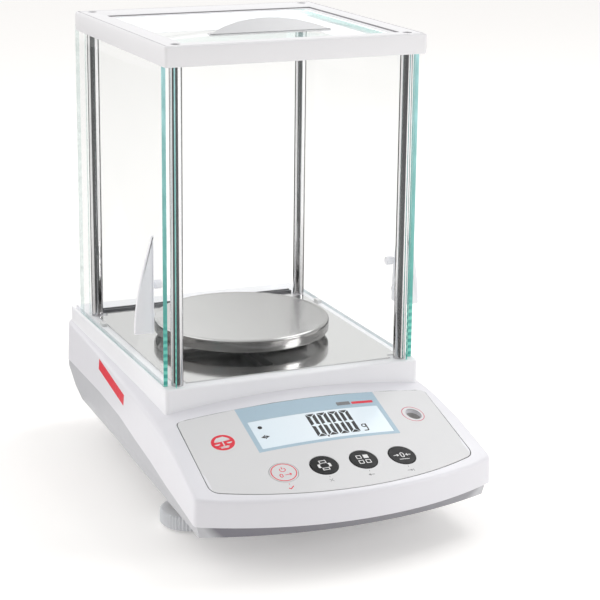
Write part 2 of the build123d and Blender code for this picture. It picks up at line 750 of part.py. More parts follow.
# ---------------------------------------------------------------- pan and its support
with BuildPart() as pan_support:
    with BuildSketch(Plane.XY.offset(96.4)):
        with Locations((0, PAN_Y)):
            Circle(9.0)
            Rectangle(96, 7)
            Rectangle(7, 96)
    extrude(amount=3.0)
    with BuildSketch(Plane.XY.offset(90.6)):
        with Locations((0, PAN_Y)):
            Circle(7.0)
    extrude(amount=6.0)
    # rubber-tipped ends that carry the pan
    with BuildSketch(Plane.XY.offset(99.3)):
        with Locations((-44, PAN_Y), (44, PAN_Y), (0, PAN_Y - 44), (0, PAN_Y + 44)):
            Circle(3.0)
    extrude(amount=1.1)
    # tapered seat over the stem
    with BuildSketch(Plane.XY.offset(90.2)):
        with Locations((0, PAN_Y)):
            Circle(4.07)
    extrude(amount=5.2, taper=8, mode=Mode.SUBTRACT)
pan_support.part.label = "pan_support"

with BuildPart() as weighing_pan:
    with BuildSketch(Plane.XY.offset(PAN_TOP - PAN_SKIRT)):
        with Locations((0, PAN_Y)):
            Circle(PAN_R)
    extrude(amount=PAN_SKIRT)
    fillet(weighing_pan.faces().sort_by(Axis.Z)[-1].edges(), 2.6)
    with BuildSketch(Plane.XY.offset(PAN_TOP - PAN_SKIRT)):
        with Locations((0, PAN_Y)):
            Circle(PAN_R - 1.3)
    extrude(amount=PAN_SKIRT - 1.3, mode=Mode.SUBTRACT)
weighing_pan.part.label = "weighing_pan"

with BuildPart() as floor_plate:
    with BuildSketch(Plane.XY.offset(PLINTH_Z)):
        with Locations((0, 38.0)):
            RectangleRounded(158.0, 166.0, 1.5)
        with Locations((-POST_X, POST_Y0), (POST_X, POST_Y0), (-POST_X, POST_Y1), (POST_X, POST_Y1)):
            Rectangle(12.4, 12.4, mode=Mode.SUBTRACT)
        with Locations((0, PAN_Y)):
            Circle(11.0, mode=Mode.SUBTRACT)
    extrude(amount=0.8)
floor_plate.part.label = "floor_plate"

with BuildPart() as draft_ring:
    with BuildSketch(Plane.XY.offset(PLINTH_Z - 2.0)):
        with Locations((0, PAN_Y)):
            Circle(10.8)
            Circle(8.6, mode=Mode.SUBTRACT)
    extrude(amount=3.8)
    with BuildSketch(Plane.XY.offset(PLINTH_Z + 0.8)):
        with Locations((0, PAN_Y)):
            Circle(14.0)
            Circle(8.6, mode=Mode.SUBTRACT)
    extrude(amount=1.0)
draft_ring.part.label = "draft_ring"

# ---------------------------------------------------------------- draft shield
with BuildPart() as top_frame:
    with BuildSketch(Plane.XY.offset(FRAME_Z0)):
        with Locations((0, (FRAME_Y0 + FRAME_Y1) / 2)):
            RectangleRounded(2 * FRAME_HALF_W, FRAME_Y1 - FRAME_Y0, 2.0)
        with Locations((0, (OPEN_Y0 + OPEN_Y1) / 2)):
            Rectangle(2 * (OPEN_HALF_W - 4), OPEN_Y1 - OPEN_Y0, mode=Mode.SUBTRACT)
    extrude(amount=FRAME_Z1 - FRAME_Z0)
    fillet(top_frame.edges().filter_by_position(Axis.Z, FRAME_Z1 - 0.01, FRAME_Z1 + 0.01).filter_by_position(
        Axis.Y, FRAME_Y0 - 0.1, OPEN_Y0 - 5) + top_frame.edges().filter_by_position(
        Axis.Z, FRAME_Z1 - 0.01, FRAME_Z1 + 0.01).filter_by_position(Axis.Y, OPEN_Y1 + 5, FRAME_Y1 + 0.1)
        + top_frame.edges().filter_by_position(Axis.Z, FRAME_Z1 - 0.01, FRAME_Z1 + 0.01).filter_by_position(
        Axis.X, FRAME_HALF_W - 0.1, FRAME_HALF_W + 0.1) + top_frame.edges().filter_by_position(
        Axis.Z, FRAME_Z1 - 0.01, FRAME_Z1 + 0.01).filter_by_position(Axis.X, -FRAME_HALF_W - 0.1, -FRAME_HALF_W + 0.1), 0.8)
    # ledge, side rebates and rear slot for the sliding top pane
    with BuildSketch(Plane.XY.offset(TOP_GLASS_Z[0] - 0.15)):
        with Locations((0, (OPEN_Y0 - 3.2 + OPEN_Y1) / 2)):
            Rectangle(2 * OPEN_HALF_W, OPEN_Y1 - OPEN_Y0 + 3.2)
        with Locations((0, 115)):
            Rectangle(2 * OPEN_HALF_W, 60)
    extrude(amount=TOP_GLASS_Z[1] - TOP_GLASS_Z[0] + 0.35, mode=Mode.SUBTRACT)
    with BuildSketch(Plane.XY.offset(TOP_GLASS_Z[0] - 0.15)):
        with Locations((0, (OPEN_Y0 + OPEN_Y1) / 2)):
            Rectangle(2 * OPEN_HALF_W, OPEN_Y1 - OPEN_Y0)
    extrude(amount=10, mode=Mode.SUBTRACT)
    # tracks of the side doors, open to the rear
    for side in (1, -1):
        with BuildSketch(Plane.XY.offset(FRAME_Z0)):
            with Locations((side * (DOOR_IN + DOOR_OUT) / 2, (DOOR_Y0 - 0.4 + 140) / 2)):
                Rectangle(DOOR_OUT - DOOR_IN + 0.5, 140 - DOOR_Y0 + 0.4)
        extrude(amount=DOOR_Z1 - FRAME_Z0 + 0.3, mode=Mode.SUBTRACT)
    # grooves of the fixed panes
    with BuildSketch(Plane.XY.offset(FRAME_Z0)):
        with Locations((0, sum(FRONT_GLASS_Y) / 2)):
            Rectangle(162.2, 2.3)
        with Locations((0, sum(REAR_GLASS_Y) / 2)):
            Rectangle(163.8, 2.3)
    extrude(amount=3.6, mode=Mode.SUBTRACT)
    # post sockets and counterbored screw holes over them
    with BuildSketch(Plane.XY.offset(FRAME_Z0)):
        with Locations((-POST_X, POST_Y0), (POST_X, POST_Y0), (-POST_X, POST_Y1), (POST_X, POST_Y1)):
            Circle(POST_R + 0.05)
    extrude(amount=7.8, mode=Mode.SUBTRACT)
    with BuildSketch(Plane.XY.offset(FRAME_Z0)):
        with Locations((-POST_X, POST_Y0), (POST_X, POST_Y0), (-POST_X, POST_Y1), (POST_X, POST_Y1)):
            Circle(1.6)
    extrude(amount=20, mode=Mode.SUBTRACT)
    with BuildSketch(Plane.XY.offset(FRAME_Z1 - 2.6)):
        with Locations((-POST_X, POST_Y0), (POST_X, POST_Y0), (-POST_X, POST_Y1), (POST_X, POST_Y1)):
            Circle(3.1)
    extrude(amount=5, mode=Mode.SUBTRACT)
top_frame.part.label = "top_frame"

with BuildPart() as draft_posts:
    with BuildSketch(Plane.XY.offset(PLINTH_Z - 7.5)):
        with Locations((-POST_X, POST_Y0), (POST_X, POST_Y0), (-POST_X, POST_Y1), (POST_X, POST_Y1)):
            Circle(POST_R)
    extrude(amount=FRAME_Z0 + 7.7 - PLINTH_Z + 7.5)
    with BuildSketch(Plane.XY.offset(FRAME_Z0 + 7.7)):
        with Locations((-POST_X, POST_Y0), (POST_X, POST_Y0), (-POST_X, POST_Y1), (POST_X, POST_Y1)):
            Circle(1.3)
    extrude(amount=-14, mode=Mode.SUBTRACT)
draft_posts.part.label = "draft_posts"

with BuildPart() as top_frame_screws:
    with BuildSketch(Plane.XY.offset(FRAME_Z1 - 2.5)):
        with Locations((-POST_X, POST_Y0), (POST_X, POST_Y0), (-POST_X, POST_Y1), (POST_X, POST_Y1)):
            Circle(2.75)
    extrude(amount=1.5)
    with BuildSketch(Plane.XY.offset(FRAME_Z1 - 1.9)):
        with Locations((-POST_X, POST_Y0), (POST_X, POST_Y0), (-POST_X, POST_Y1), (POST_X, POST_Y1)):
            RegularPolygon(1.2, 6)
    extrude(amount=0.9, mode=Mode.SUBTRACT)
    with BuildSketch(Plane.XY.offset(FRAME_Z1 - 2.5)):
        with Locations((-POST_X, POST_Y0), (POST_X, POST_Y0), (-POST_X, POST_Y1), (POST_X, POST_Y1)):
            Circle(1.25)
    extrude(amount=-12)
top_frame_screws.part.label = "top_frame_screws"

with BuildPart() as front_glass:
    with BuildSketch(Plane.XY.offset(PLINTH_Z - 2.9)):
        with Locations((0, sum(FRONT_GLASS_Y) / 2)):
            Rectangle(161.4, 2.0)
    extrude(amount=FRAME_Z0 + 3.5 - PLINTH_Z + 2.9)
front_glass.part.label = "front_glass"

with BuildPart() as rear_glass:
    with BuildSketch(Plane.XY.offset(PLINTH_Z - 2.9)):
        with Locations((0, sum(REAR_GLASS_Y) / 2)):
            Rectangle(163.4, 2.0)
    extrude(amount=FRAME_Z0 + 3.5 - PLINTH_Z + 2.9)
rear_glass.part.label = "rear_glass"

with BuildPart() as rear_glass_seal:
    with BuildSketch(Plane.XY.offset(PLINTH_Z)):
        with Locations((0, sum(REAR_GLASS_Y) / 2)):
            Rectangle(147.0, 5.6)
            Rectangle(148.0, 2.0, mode=Mode.SUBTRACT)
    extrude(amount=2.2)
rear_glass_seal.part.label = "rear_glass_seal"

# sliding side doors: pane, outer fin handle, inner knob that clamps it
for side, tag in ((-1, "left"), (1, "right")):
    with BuildPart() as pane:
        with BuildSketch(Plane.XY.offset(DOOR_Z0)):
            with Locations((side * (DOOR_IN + DOOR_OUT) / 2, (DOOR_Y0 + DOOR_Y1) / 2)):
                Rectangle(DOOR_OUT - DOOR_IN, DOOR_Y1 - DOOR_Y0)
        extrude(amount=DOOR_Z1 - DOOR_Z0)
        with BuildSketch(Plane.YZ.offset(side * DOOR_IN)):
            with Locations((HANDLE_Y, HANDLE_Z), (HANDLE_Y, HANDLE_Z - 20)):
                Circle(2.1)
        extrude(amount=side * 5, mode=Mode.SUBTRACT)
    pane.part.label = tag + "_door_glass"
    export_step(pane.part, "parts/" + tag + "_door_glass.step")

    with BuildPart() as fin:
        # foot plate against the glass
        with BuildSketch(Plane.YZ.offset(side * DOOR_OUT)):
            with BuildLine():
                Polyline((-29.0, 118.0), (-14.0, 118.0), (-14.4, 134.0), (-17.0, 152.0), (-23.5, 172.0), (-28.0, 181.0),
                         (-29.0, 181.0), close=True)
            make_face()
        extrude(amount=side * 1.8)
        # upright fin, highest where the hand pushes it
        with BuildSketch(Plane.XZ.offset(29.0)):
            with BuildLine():
                Polyline((side * DOOR_OUT, 118.0), (side * (DOOR_OUT + 13.0), 118.0))
                Spline((side * (DOOR_OUT + 13.0), 118.0), (side * (DOOR_OUT + 12.4), 130.0), (side * (DOOR_OUT + 10.4), 145.0),
                       (side * (DOOR_OUT + 7.0), 160.0), (side * (DOOR_OUT + 0.6), 181.5))
                Polyline((side * (DOOR_OUT + 0.6), 181.5), (side * DOOR_OUT, 181.5), (side * DOOR_OUT, 118.0))
            make_face()
        extrude(amount=-2.6)
        # peg through the lower hole of the pane
        with BuildSketch(Plane.YZ.offset(side * (DOOR_OUT + 0.5))):
            with Locations((HANDLE_Y, HANDLE_Z - 20)):
                Circle(1.9)
        extrude(amount=-side * 3.2)
    fin.part.label = tag + "_door_handle"
    export_step(fin.part, "parts/" + tag + "_door_handle.step")

    with BuildPart() as knob:
        with BuildSketch(Plane.YZ.offset(side * (DOOR_IN - 5.0))):
            with Locations((HANDLE_Y, HANDLE_Z)):
                Circle(2.9)
        extrude(amount=side * 4.95)
        fillet(knob.edges().filter_by(GeomType.CIRCLE).group_by(Axis.X)[0 if side > 0 else -1], 0.5)
        with BuildSketch(Plane.YZ.offset(side * (DOOR_IN - 0.05))):
            with Locations((HANDLE_Y, HANDLE_Z)):
                Circle(1.9)
        extrude(amount=side * 2.8)
    knob.part.label = tag + "_door_knob"
    export_step(knob.part, "parts/" + tag + "_door_knob.step")

with BuildPart() as top_door_glass:
    with BuildSketch(Plane.XY.offset(TOP_GLASS_Z[0])):
        with Locations((0, (OPEN_Y0 - 2.8 + 126.0) / 2)):
            Rectangle(2 * OPEN_HALF_W - 0.8, 126.0 - OPEN_Y0 + 2.8)
    extrude(amount=TOP_GLASS_Z[1] - TOP_GLASS_Z[0])
top_door_glass.part.label = "top_door_glass"

# half-moon grip, leaning back from a straight foot on the top pane
GRIP_Y, GRIP_LEAN = -6.0, 54.0
grip_plane = Plane(origin=(0, GRIP_Y, TOP_GLASS_Z[1]), x_dir=(1, 0, 0),
                   z_dir=(0, -math.cos(math.radians(90 - GRIP_LEAN)), math.sin(math.radians(90 - GRIP_LEAN))))
with BuildPart() as top_door_grip:
    with BuildSketch(grip_plane):
        with BuildLine():
            ThreePointArc((-42.0, 0), (0, 11.4), (42.0, 0))
            Line((42.0, 0), (42.0, -3))
            Line((42.0, -3), (-42.0, -3))
            Line((-42.0, -3), (-42.0, 0))
        make_face()
    extrude(amount=-2.4)
    with BuildSketch(Plane.XY.offset(TOP_GLASS_Z[1])):
        with Locations((0, GRIP_Y + 3.4)):
            RectangleRounded(80.0, 8.0, 2.0)
    extrude(amount=1.2)
    with BuildSketch(Plane.XY.offset(TOP_GLASS_Z[1])):
        Rectangle(200, 200)
    extrude(amount=-20, mode=Mode.SUBTRACT)
top_door_grip.part.label = "top_door_grip"

with BuildPart() as door_guides:
    for side in (1, -1):
        with BuildSketch(Plane.XY.offset(PLINTH_Z)):
            with Locations((side * 81.9, 95.0)):
                Rectangle(3.2, 7.0)
        extrude(amount=2.2)
door_guides.part.label = "door_guides"

# ---------------------------------------------------------------- levelling feet
for side, tag in ((-1, "left"), (1, "right")):
    with BuildPart() as wheel:
        with BuildSketch(Plane.XY.offset(WHEEL_Z[0])):
            with Locations((side * FOOT_X, FOOT_Y)):
                Circle(WHEEL_R)
                with PolarLocations(WHEEL_R + 0.25, 50):
                    Circle(0.85, mode=Mode.SUBTRACT)
        extrude(amount=WHEEL_Z[1] - WHEEL_Z[0])
        with BuildSketch(Plane.XY.offset(WHEEL_Z[1])):
            with Locations((side * FOOT_X, FOOT_Y)):
                Circle(5.5)
        extrude(amount=2.4)
        with BuildSketch(Plane.XY.offset(WHEEL_Z[1])):
            with Locations((side * FOOT_X, FOOT_Y)):
                Circle(3.0)
        extrude(amount=26.6)
        with BuildSketch(Plane.XY.offset(WHEEL_Z[0])):
            with Locations((side * FOOT_X, FOOT_Y)):
                Circle(2.05)
        extrude(amount=6.0, mode=Mode.SUBTRACT)
    wheel.part.label = tag + "_foot_wheel"
    export_step(wheel.part, "parts/" + tag + "_foot_wheel.step")

    with BuildPart() as pad:
        with BuildSketch(Plane.XY):
            with Locations((side * FOOT_X, FOOT_Y)):
                Circle(11.0)
        extrude(amount=1.9)
        with BuildSketch(Plane.XY.offset(1.9)):
            with Locations((side * FOOT_X, FOOT_Y)):
                Circle(2.0)
        extrude(amount=6.0)
    pad.part.label = tag + "_foot_pad"
    export_step(pad.part, "parts/" + tag + "_foot_pad.step")

# threaded sleeves; the hub of each wheel comes up against its sleeve when the foot is screwed right in
with BuildPart() as foot_inserts:
    with BuildSketch(Plane.XY.offset(WHEEL_Z[1] + 2.4)):
        with Locations((-FOOT_X, FOOT_Y), (FOOT_X, FOOT_Y)):
            Circle(4.5)
    extrude(amount=24.2)
    with BuildSketch(Plane.XY.offset(19.6)):
        with Locations((-FOOT_X, FOOT_Y), (FOOT_X, FOOT_Y)):
            Circle(7.0)
    extrude(amount=1.8)
    with BuildSketch(Plane.XY.offset(WHEEL_Z[1])):
        with Locations((-FOOT_X, FOOT_Y), (FOOT_X, FOOT_Y)):
            Circle(3.06)
    extrude(amount=30.0, mode=Mode.SUBTRACT)
foot_inserts.part.label = "foot_inserts"

with BuildPart() as rear_foot_pads:
    with BuildSketch(Plane.XY):
        with Locations((-REAR_FOOT[0], REAR_FOOT[1]), (REAR_FOOT[0], REAR_FOOT[1])):
            Circle(8.9)
    extrude(amount=5.0)
rear_foot_pads.part.label = "rear_foot_pads"

# swinging cover of the weigh-below opening, on its pivot screw
with BuildPart() as weigh_below_cover:
    with BuildSketch(Plane.XY.offset(21.2)):
        with Locations((0, PAN_Y)):
            Circle(11.0)
        with Locations((0, PAN_Y - 20)):
            Circle(5.0)
        with Locations((0, PAN_Y - 12)):
            Rectangle(10, 16)
        with Locations((0, PAN_Y - 20)):
            Circle(1.65, mode=Mode.SUBTRACT)
    extrude(amount=1.6)
weigh_below_cover.part.label = "weigh_below_cover"

with BuildPart() as cover_pivot_screw:
    with BuildSketch(Plane.XY.offset(19.4)):
        with Locations((0, PAN_Y - 20)):
            Circle(3.0)
    extrude(amount=1.7)
    with BuildSketch(Plane.XY.offset(21.1)):
        with Locations((0, PAN_Y - 20)):
            Circle(1.58)
    extrude(amount=5.5)
cover_pivot_screw.part.label = "cover_pivot_screw"

for p in (upper_housing, lower_housing, housing_screws, control_overlay, display_window, lcd_module, display_board,
          key_switches, level_cup, level_vial, level_bubble, main_board, rs232_port, power_jack, lock_slot,
          cell_mount_plate, cell_frame, load_receiver, weigh_below_hook, weigh_lever, voice_coil, magnet_pot,
          position_sensor, pan_support, weighing_pan, floor_plate, draft_ring, top_frame, draft_posts,
          top_frame_screws, front_glass, rear_glass, rear_glass_seal, top_door_glass, top_door_grip, door_guides,
          foot_inserts, rear_foot_pads, weigh_below_cover, cover_pivot_screw):
    export_step(p.part, "parts/" + p.part.label + ".step")
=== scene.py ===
import math

import bmesh
import bpy
import numpy as np
from mathutils import Matrix, Vector
from mathutils.geometry import tessellate_polygon


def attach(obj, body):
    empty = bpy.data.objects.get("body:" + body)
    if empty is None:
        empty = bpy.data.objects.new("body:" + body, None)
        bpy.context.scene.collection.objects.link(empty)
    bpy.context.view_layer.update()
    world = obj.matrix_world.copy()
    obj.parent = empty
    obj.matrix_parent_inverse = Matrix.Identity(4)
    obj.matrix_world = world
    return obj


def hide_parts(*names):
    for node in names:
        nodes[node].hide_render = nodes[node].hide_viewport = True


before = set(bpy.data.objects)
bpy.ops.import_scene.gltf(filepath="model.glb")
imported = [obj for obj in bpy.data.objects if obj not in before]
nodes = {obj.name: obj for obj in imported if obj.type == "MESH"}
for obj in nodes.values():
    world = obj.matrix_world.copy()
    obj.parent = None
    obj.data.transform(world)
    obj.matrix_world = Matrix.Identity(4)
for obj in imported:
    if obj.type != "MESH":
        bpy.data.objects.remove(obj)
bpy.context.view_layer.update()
S = 0.001                      # the shapes below are written in millimetres
pi = math.pi

# ------------------------------------------------------------------ driving sizes (as in the part)
TAN = 0.329
PANEL_Y0, PANEL_Z0 = -134.5, 47.86
ANG = math.atan(TAN)
sa, ca = math.sin(ANG), math.cos(ANG)
CROWN_R, CROWN_HALF = 620.0, 86.0
PAN_Y = 40.4
KEY_X = (-40.6, -14.2, 12.2, 38.6)
KEY_V, KEY_R = 5.9, 8.9
LEVEL_X, LEVEL_V, LEVEL_R = 66.2, 46.3, 5.2
WIN = (-44.6, 44.6, 30.2, 57.3)
POST_X, POST_Y = 77.8, (-45.6, 121.4)
STATIONS = (-166.0, -119.0, -94.0, -67.2, -53.0, -24.0, 21.0, 69.0, 162.0)
TOP_AT_86 = (37.5, 53.0, 61.2, 70.0, 71.8, 73.0, 74.5, 75.5, 77.0)
TOP_AT_101 = (36.2, 51.7, 58.9, 62.8, 64.2, 66.4, 68.8, 71.0, 74.0)
PART_Y = (-170.0, -134.5, -108.0, -78.0, -46.5, -15.0, 22.0, 70.0, 147.0, 170.0)
PART_Z = (29.0, 29.6, 32.6, 35.5, 39.7, 42.6, 46.8, 48.4, 47.4, 45.4)


def crown(x):
    x = min(abs(x), 300.0)
    return math.sqrt(CROWN_R ** 2 - x * x) - math.sqrt(CROWN_R ** 2 - CROWN_HALF ** 2)


def P(x, v, n=0.0):
    """Panel coordinates (across, up the slope, height over the crowned surface) to the row frame, in mm."""
    h = crown(x) + n
    return (x, PANEL_Y0 + v * ca - h * sa, PANEL_Z0 + v * sa + h * ca)


def key_frame(kx):
    """Origin and axes of a key: its normal follows the crown."""
    t = math.asin(kx / CROWN_R)
    o = Vector(P(kx, KEY_V, 0.0))
    ex = Vector((math.cos(t), sa * math.sin(t), -ca * math.sin(t)))
    ez = Vector((math.sin(t), -sa * math.cos(t), ca * math.cos(t)))
    return o, ex, ez.cross(ex), ez


def smoothstep(a, b, x):
    t = min(1.0, max(0.0, (x - a) / (b - a)))
    return t * t * (3 - 2 * t)


# ------------------------------------------------------------------ node materials
def new_mat(name):
    m = bpy.data.materials.new(name)
    m.use_nodes = True
    nt = m.node_tree
    nt.nodes.clear()
    out = nt.nodes.new("ShaderNodeOutputMaterial")
    return m, nt, out


def N(nt, kind, **props):
    n = nt.nodes.new(kind)
    for k, v in props.items():
        setattr(n, k, v)
    return n


def L(nt, a, b):
    nt.links.new(a, b)


def coords(nt, scale=(1, 1, 1), rot=(0, 0, 0), loc=(0, 0, 0)):
    tc = N(nt, "ShaderNodeTexCoord")
    mp = N(nt, "ShaderNodeMapping")
    mp.inputs["Scale"].default_value = scale
    mp.inputs["Rotation"].default_value = rot
    mp.inputs["Location"].default_value = loc
    L(nt, tc.outputs["Object"], mp.inputs["Vector"])
    return mp.outputs["Vector"]


def noise(nt, vec, scale, detail=3.0, rough=0.5):
    n = N(nt, "ShaderNodeTexNoise")
    n.inputs["Scale"].default_value = scale
    n.inputs["Detail"].default_value = detail
    n.inputs["Roughness"].default_value = rough
    L(nt, vec, n.inputs["Vector"])
    return n.outputs["Fac"]


def maprange(nt, src, a, b, lo, hi):
    n = N(nt, "ShaderNodeMapRange")
    n.inputs["From Min"].default_value = a
    n.inputs["From Max"].default_value = b
    n.inputs["To Min"].default_value = lo
    n.inputs["To Max"].default_value = hi
    L(nt, src, n.inputs["Value"])
    return n.outputs["Result"]


def mixcol(nt, fac, a, b, mode="MIX"):
    n = N(nt, "ShaderNodeMix", data_type="RGBA", blend_type=mode)
    if isinstance(fac, (int, float)):
        n.inputs[0].default_value = fac
    else:
        L(nt, fac, n.inputs[0])
    for sock, val in ((n.inputs[6], a), (n.inputs[7], b)):
        if isinstance(val, (tuple, list)):
            sock.default_value = tuple(val)[:3] + (1.0,)
        else:
            L(nt, val, sock)
    return n.outputs[2]


def bump(nt, height, strength, distance, normal=None):
    n = N(nt, "ShaderNodeBump")
    n.inputs["Strength"].default_value = strength
    n.inputs["Distance"].default_value = distance
    L(nt, height, n.inputs["Height"])
    if normal is not None:
        L(nt, normal, n.inputs["Normal"])
    return n.outputs["Normal"]


def principled(nt, out, **vals):
    b = N(nt, "ShaderNodeBsdfPrincipled")
    for k, v in vals.items():
        b.inputs[k.replace("_", " ")].default_value = v
    L(nt, b.outputs["BSDF"], out.inputs["Surface"])
    return b


def plastic(name, col, rough=0.38, vary=0.03, grain=2600.0, depth=0.00002, strength=0.25, spec=0.5, coat=0.0, speck=0.0, painted_glow=0.0):
    """Moulded plastic: fine spark-eroded grain, patchy gloss and a faint colour drift; an optional painted glow,
    emission in its own colour, brightens it as painted light.
    """
    m, nt, out = new_mat(name)
    v = coords(nt)
    big = noise(nt, v, 14.0, 4.0, 0.55)
    mid = noise(nt, v, 160.0, 3.0, 0.5)
    fine = noise(nt, v, grain, 2.0, 0.6)
    dark = tuple(c * (1 - vary) for c in col)
    light = tuple(min(1.0, c * (1 + vary)) for c in col)
    c = mixcol(nt, maprange(nt, big, 0.3, 0.7, 0.0, 1.0), dark, light)
    if speck:
        c = mixcol(nt, maprange(nt, fine, 0.62, 0.75, 0.0, speck), c, tuple(x * 0.6 for x in col))
    b = principled(nt, out)
    L(nt, c, b.inputs["Base Color"])
    L(nt, maprange(nt, mid, 0.25, 0.75, rough - 0.05, rough + 0.06), b.inputs["Roughness"])
    L(nt, bump(nt, fine, strength, depth), b.inputs["Normal"])
    b.inputs["Specular IOR Level"].default_value = spec
    # painted glow: emission in the base colour makes the plastic look more brightly lit; it is no lamp
    if painted_glow:
        L(nt, c, b.inputs["Emission Color"])
        b.inputs["Emission Strength"].default_value = painted_glow
    if coat:
        b.inputs["Coat Weight"].default_value = coat
        b.inputs["Coat Roughness"].default_value = 0.12
    return m


def metal(name, col, rough, kind="line", axis_scale=(1, 1, 1), vary=0.06, depth=0.00001, strength=0.25, aniso=0.0, centre=None,
          freq=5200.0, painted_shade=None):
    """Metal with a directional (line), circular (ring) or cast (grain) finish."""
    m, nt, out = new_mat(name)
    if kind == "ring":
        tc = N(nt, "ShaderNodeTexCoord")
        sub = N(nt, "ShaderNodeVectorMath", operation="SUBTRACT")
        sub.inputs[1].default_value = centre
        L(nt, tc.outputs["Object"], sub.inputs[0])
        sep = N(nt, "ShaderNodeSeparateXYZ")
        L(nt, sub.outputs[0], sep.inputs[0])
        flat = N(nt, "ShaderNodeCombineXYZ")
        L(nt, sep.outputs["X"], flat.inputs["X"])
        L(nt, sep.outputs["Y"], flat.inputs["Y"])
        ln = N(nt, "ShaderNodeVectorMath", operation="LENGTH")
        L(nt, flat.outputs[0], ln.inputs[0])
        comb = N(nt, "ShaderNodeCombineXYZ")
        L(nt, ln.outputs["Value"], comb.inputs["X"])
        L(nt, sep.outputs["Z"], comb.inputs["Z"])
        fine = noise(nt, comb.outputs[0], freq, 3.0, 0.6)
        v = tc.outputs["Object"]
    elif kind == "line":
        v = coords(nt)
        fine = noise(nt, coords(nt, axis_scale), freq, 3.0, 0.6)
    else:
        v = coords(nt)
        fine = noise(nt, v, freq, 4.0, 0.6)
    big = noise(nt, v, 22.0, 4.0, 0.6)
    lo = tuple(c * (1 - vary) for c in col)
    hi = tuple(min(1.0, c * (1 + vary)) for c in col)
    c = mixcol(nt, maprange(nt, fine, 0.3, 0.7, 0.0, 1.0), lo, hi)
    if painted_shade:
        # painted shade: soft change of tone along one axis that stands in for shade and reflection; start, end, tone,
        # axis
        sx = N(nt, "ShaderNodeSeparateXYZ")
        L(nt, v, sx.inputs[0])
        c = mixcol(nt, maprange(nt, sx.outputs[painted_shade[3]], painted_shade[0], painted_shade[1], 0.0, 1.0), c, painted_shade[2])
    b = principled(nt, out)
    b.inputs["Metallic"].default_value = 1.0
    L(nt, c, b.inputs["Base Color"])
    L(nt, maprange(nt, big, 0.25, 0.75, rough * 0.82, rough * 1.2), b.inputs["Roughness"])
    L(nt, bump(nt, fine, strength, depth), b.inputs["Normal"])
    if aniso:
        b.inputs["Anisotropic"].default_value = aniso
    return m


def clear_glass(name, tint=(0.9955, 0.998, 0.9972), shine=0.4):
    """Pane faces: what is behind shows through, with a Fresnel mirror over it and faint wiping marks."""
    m, nt, out = new_mat(name)
    tr = N(nt, "ShaderNodeBsdfTransparent")
    tr.inputs["Color"].default_value = tint + (1.0,)
    gl = N(nt, "ShaderNodeBsdfGlossy")
    gl.inputs["Color"].default_value = (0.95, 0.98, 0.98, 1.0)
    v = coords(nt, (1.0, 1.0, 0.35))
    L(nt, maprange(nt, noise(nt, v, 30.0, 5.0, 0.6), 0.35, 0.75, 0.004, 0.03), gl.inputs["Roughness"])
    lw = N(nt, "ShaderNodeLayerWeight")
    lw.inputs["Blend"].default_value = 0.5
    pw = N(nt, "ShaderNodeMath", operation="POWER")
    L(nt, lw.outputs["Facing"], pw.inputs[0])
    pw.inputs[1].default_value = 5.0
    fres = maprange(nt, pw.outputs[0], 0.0, 1.0, 0.035, 0.9)
    smear = maprange(nt, noise(nt, v, 55.0, 5.0, 0.65), 0.3, 0.8, 0.75 * shine, 1.0 * shine)
    mul = N(nt, "ShaderNodeMath", operation="MULTIPLY")
    L(nt, fres, mul.inputs[0])
    L(nt, smear, mul.inputs[1])
    mx = N(nt, "ShaderNodeMixShader")
    L(nt, mul.outputs[0], mx.inputs[0])
    L(nt, tr.outputs[0], mx.inputs[1])
    L(nt, gl.outputs[0], mx.inputs[2])
    L(nt, mx.outputs[0], out.inputs["Surface"])
    return m


def edge_glass(name, top=(0.46, 0.74, 0.76), low=(0.06, 0.38, 0.32), z0=0.10, z1=0.30, ribs=False):
    """Ground pane edge: green by depth of glass, paler towards the top, with a painted ripple for internal reflections
    and a painted glow.
    """
    m, nt, out = new_mat(name)
    tc = N(nt, "ShaderNodeTexCoord")
    sep = N(nt, "ShaderNodeSeparateXYZ")
    L(nt, tc.outputs["Object"], sep.inputs[0])
    t = maprange(nt, sep.outputs["Z"], z0, z1, 0.0, 1.0)
    c = mixcol(nt, t, low, top)
    n1 = noise(nt, coords(nt, (1, 1, 0.25)), 300.0, 3.0, 0.6)
    c = mixcol(nt, maprange(nt, n1, 0.35, 0.7, 0.0, 0.35), c, tuple(x * 0.55 for x in low))
    # painted reflection: wave bands standing in for the ripple of internal reflections along the edge
    if ribs:
        w = N(nt, "ShaderNodeTexWave", wave_type="BANDS", bands_direction="Z", wave_profile="TRI")
        w.inputs["Scale"].default_value = 70.0
        w.inputs["Distortion"].default_value = 1.5
        w.inputs["Detail"].default_value = 1.0
        L(nt, coords(nt, (1, 0.8, 1)), w.inputs["Vector"])
        fade = maprange(nt, sep.outputs["Z"], 0.118, 0.132, 0.75, 0.0)
        mm = N(nt, "ShaderNodeMath", operation="MULTIPLY")
        L(nt, maprange(nt, w.outputs["Fac"], 0.35, 0.65, 0.0, 1.0), mm.inputs[0])
        L(nt, fade, mm.inputs[1])
        c = mixcol(nt, mm.outputs[0], c, (0.20, 0.66, 0.56))
    b = principled(nt, out)
    L(nt, c, b.inputs["Base Color"])
    L(nt, maprange(nt, n1, 0.3, 0.7, 0.12, 0.3), b.inputs["Roughness"])
    # painted glow: emission in the edge colour
    L(nt, c, b.inputs["Emission Color"])
    b.inputs["Emission Strength"].default_value = 0.2
    b.inputs["IOR"].default_value = 1.5
    L(nt, bump(nt, n1, 0.2, 0.00002), b.inputs["Normal"])
    return m


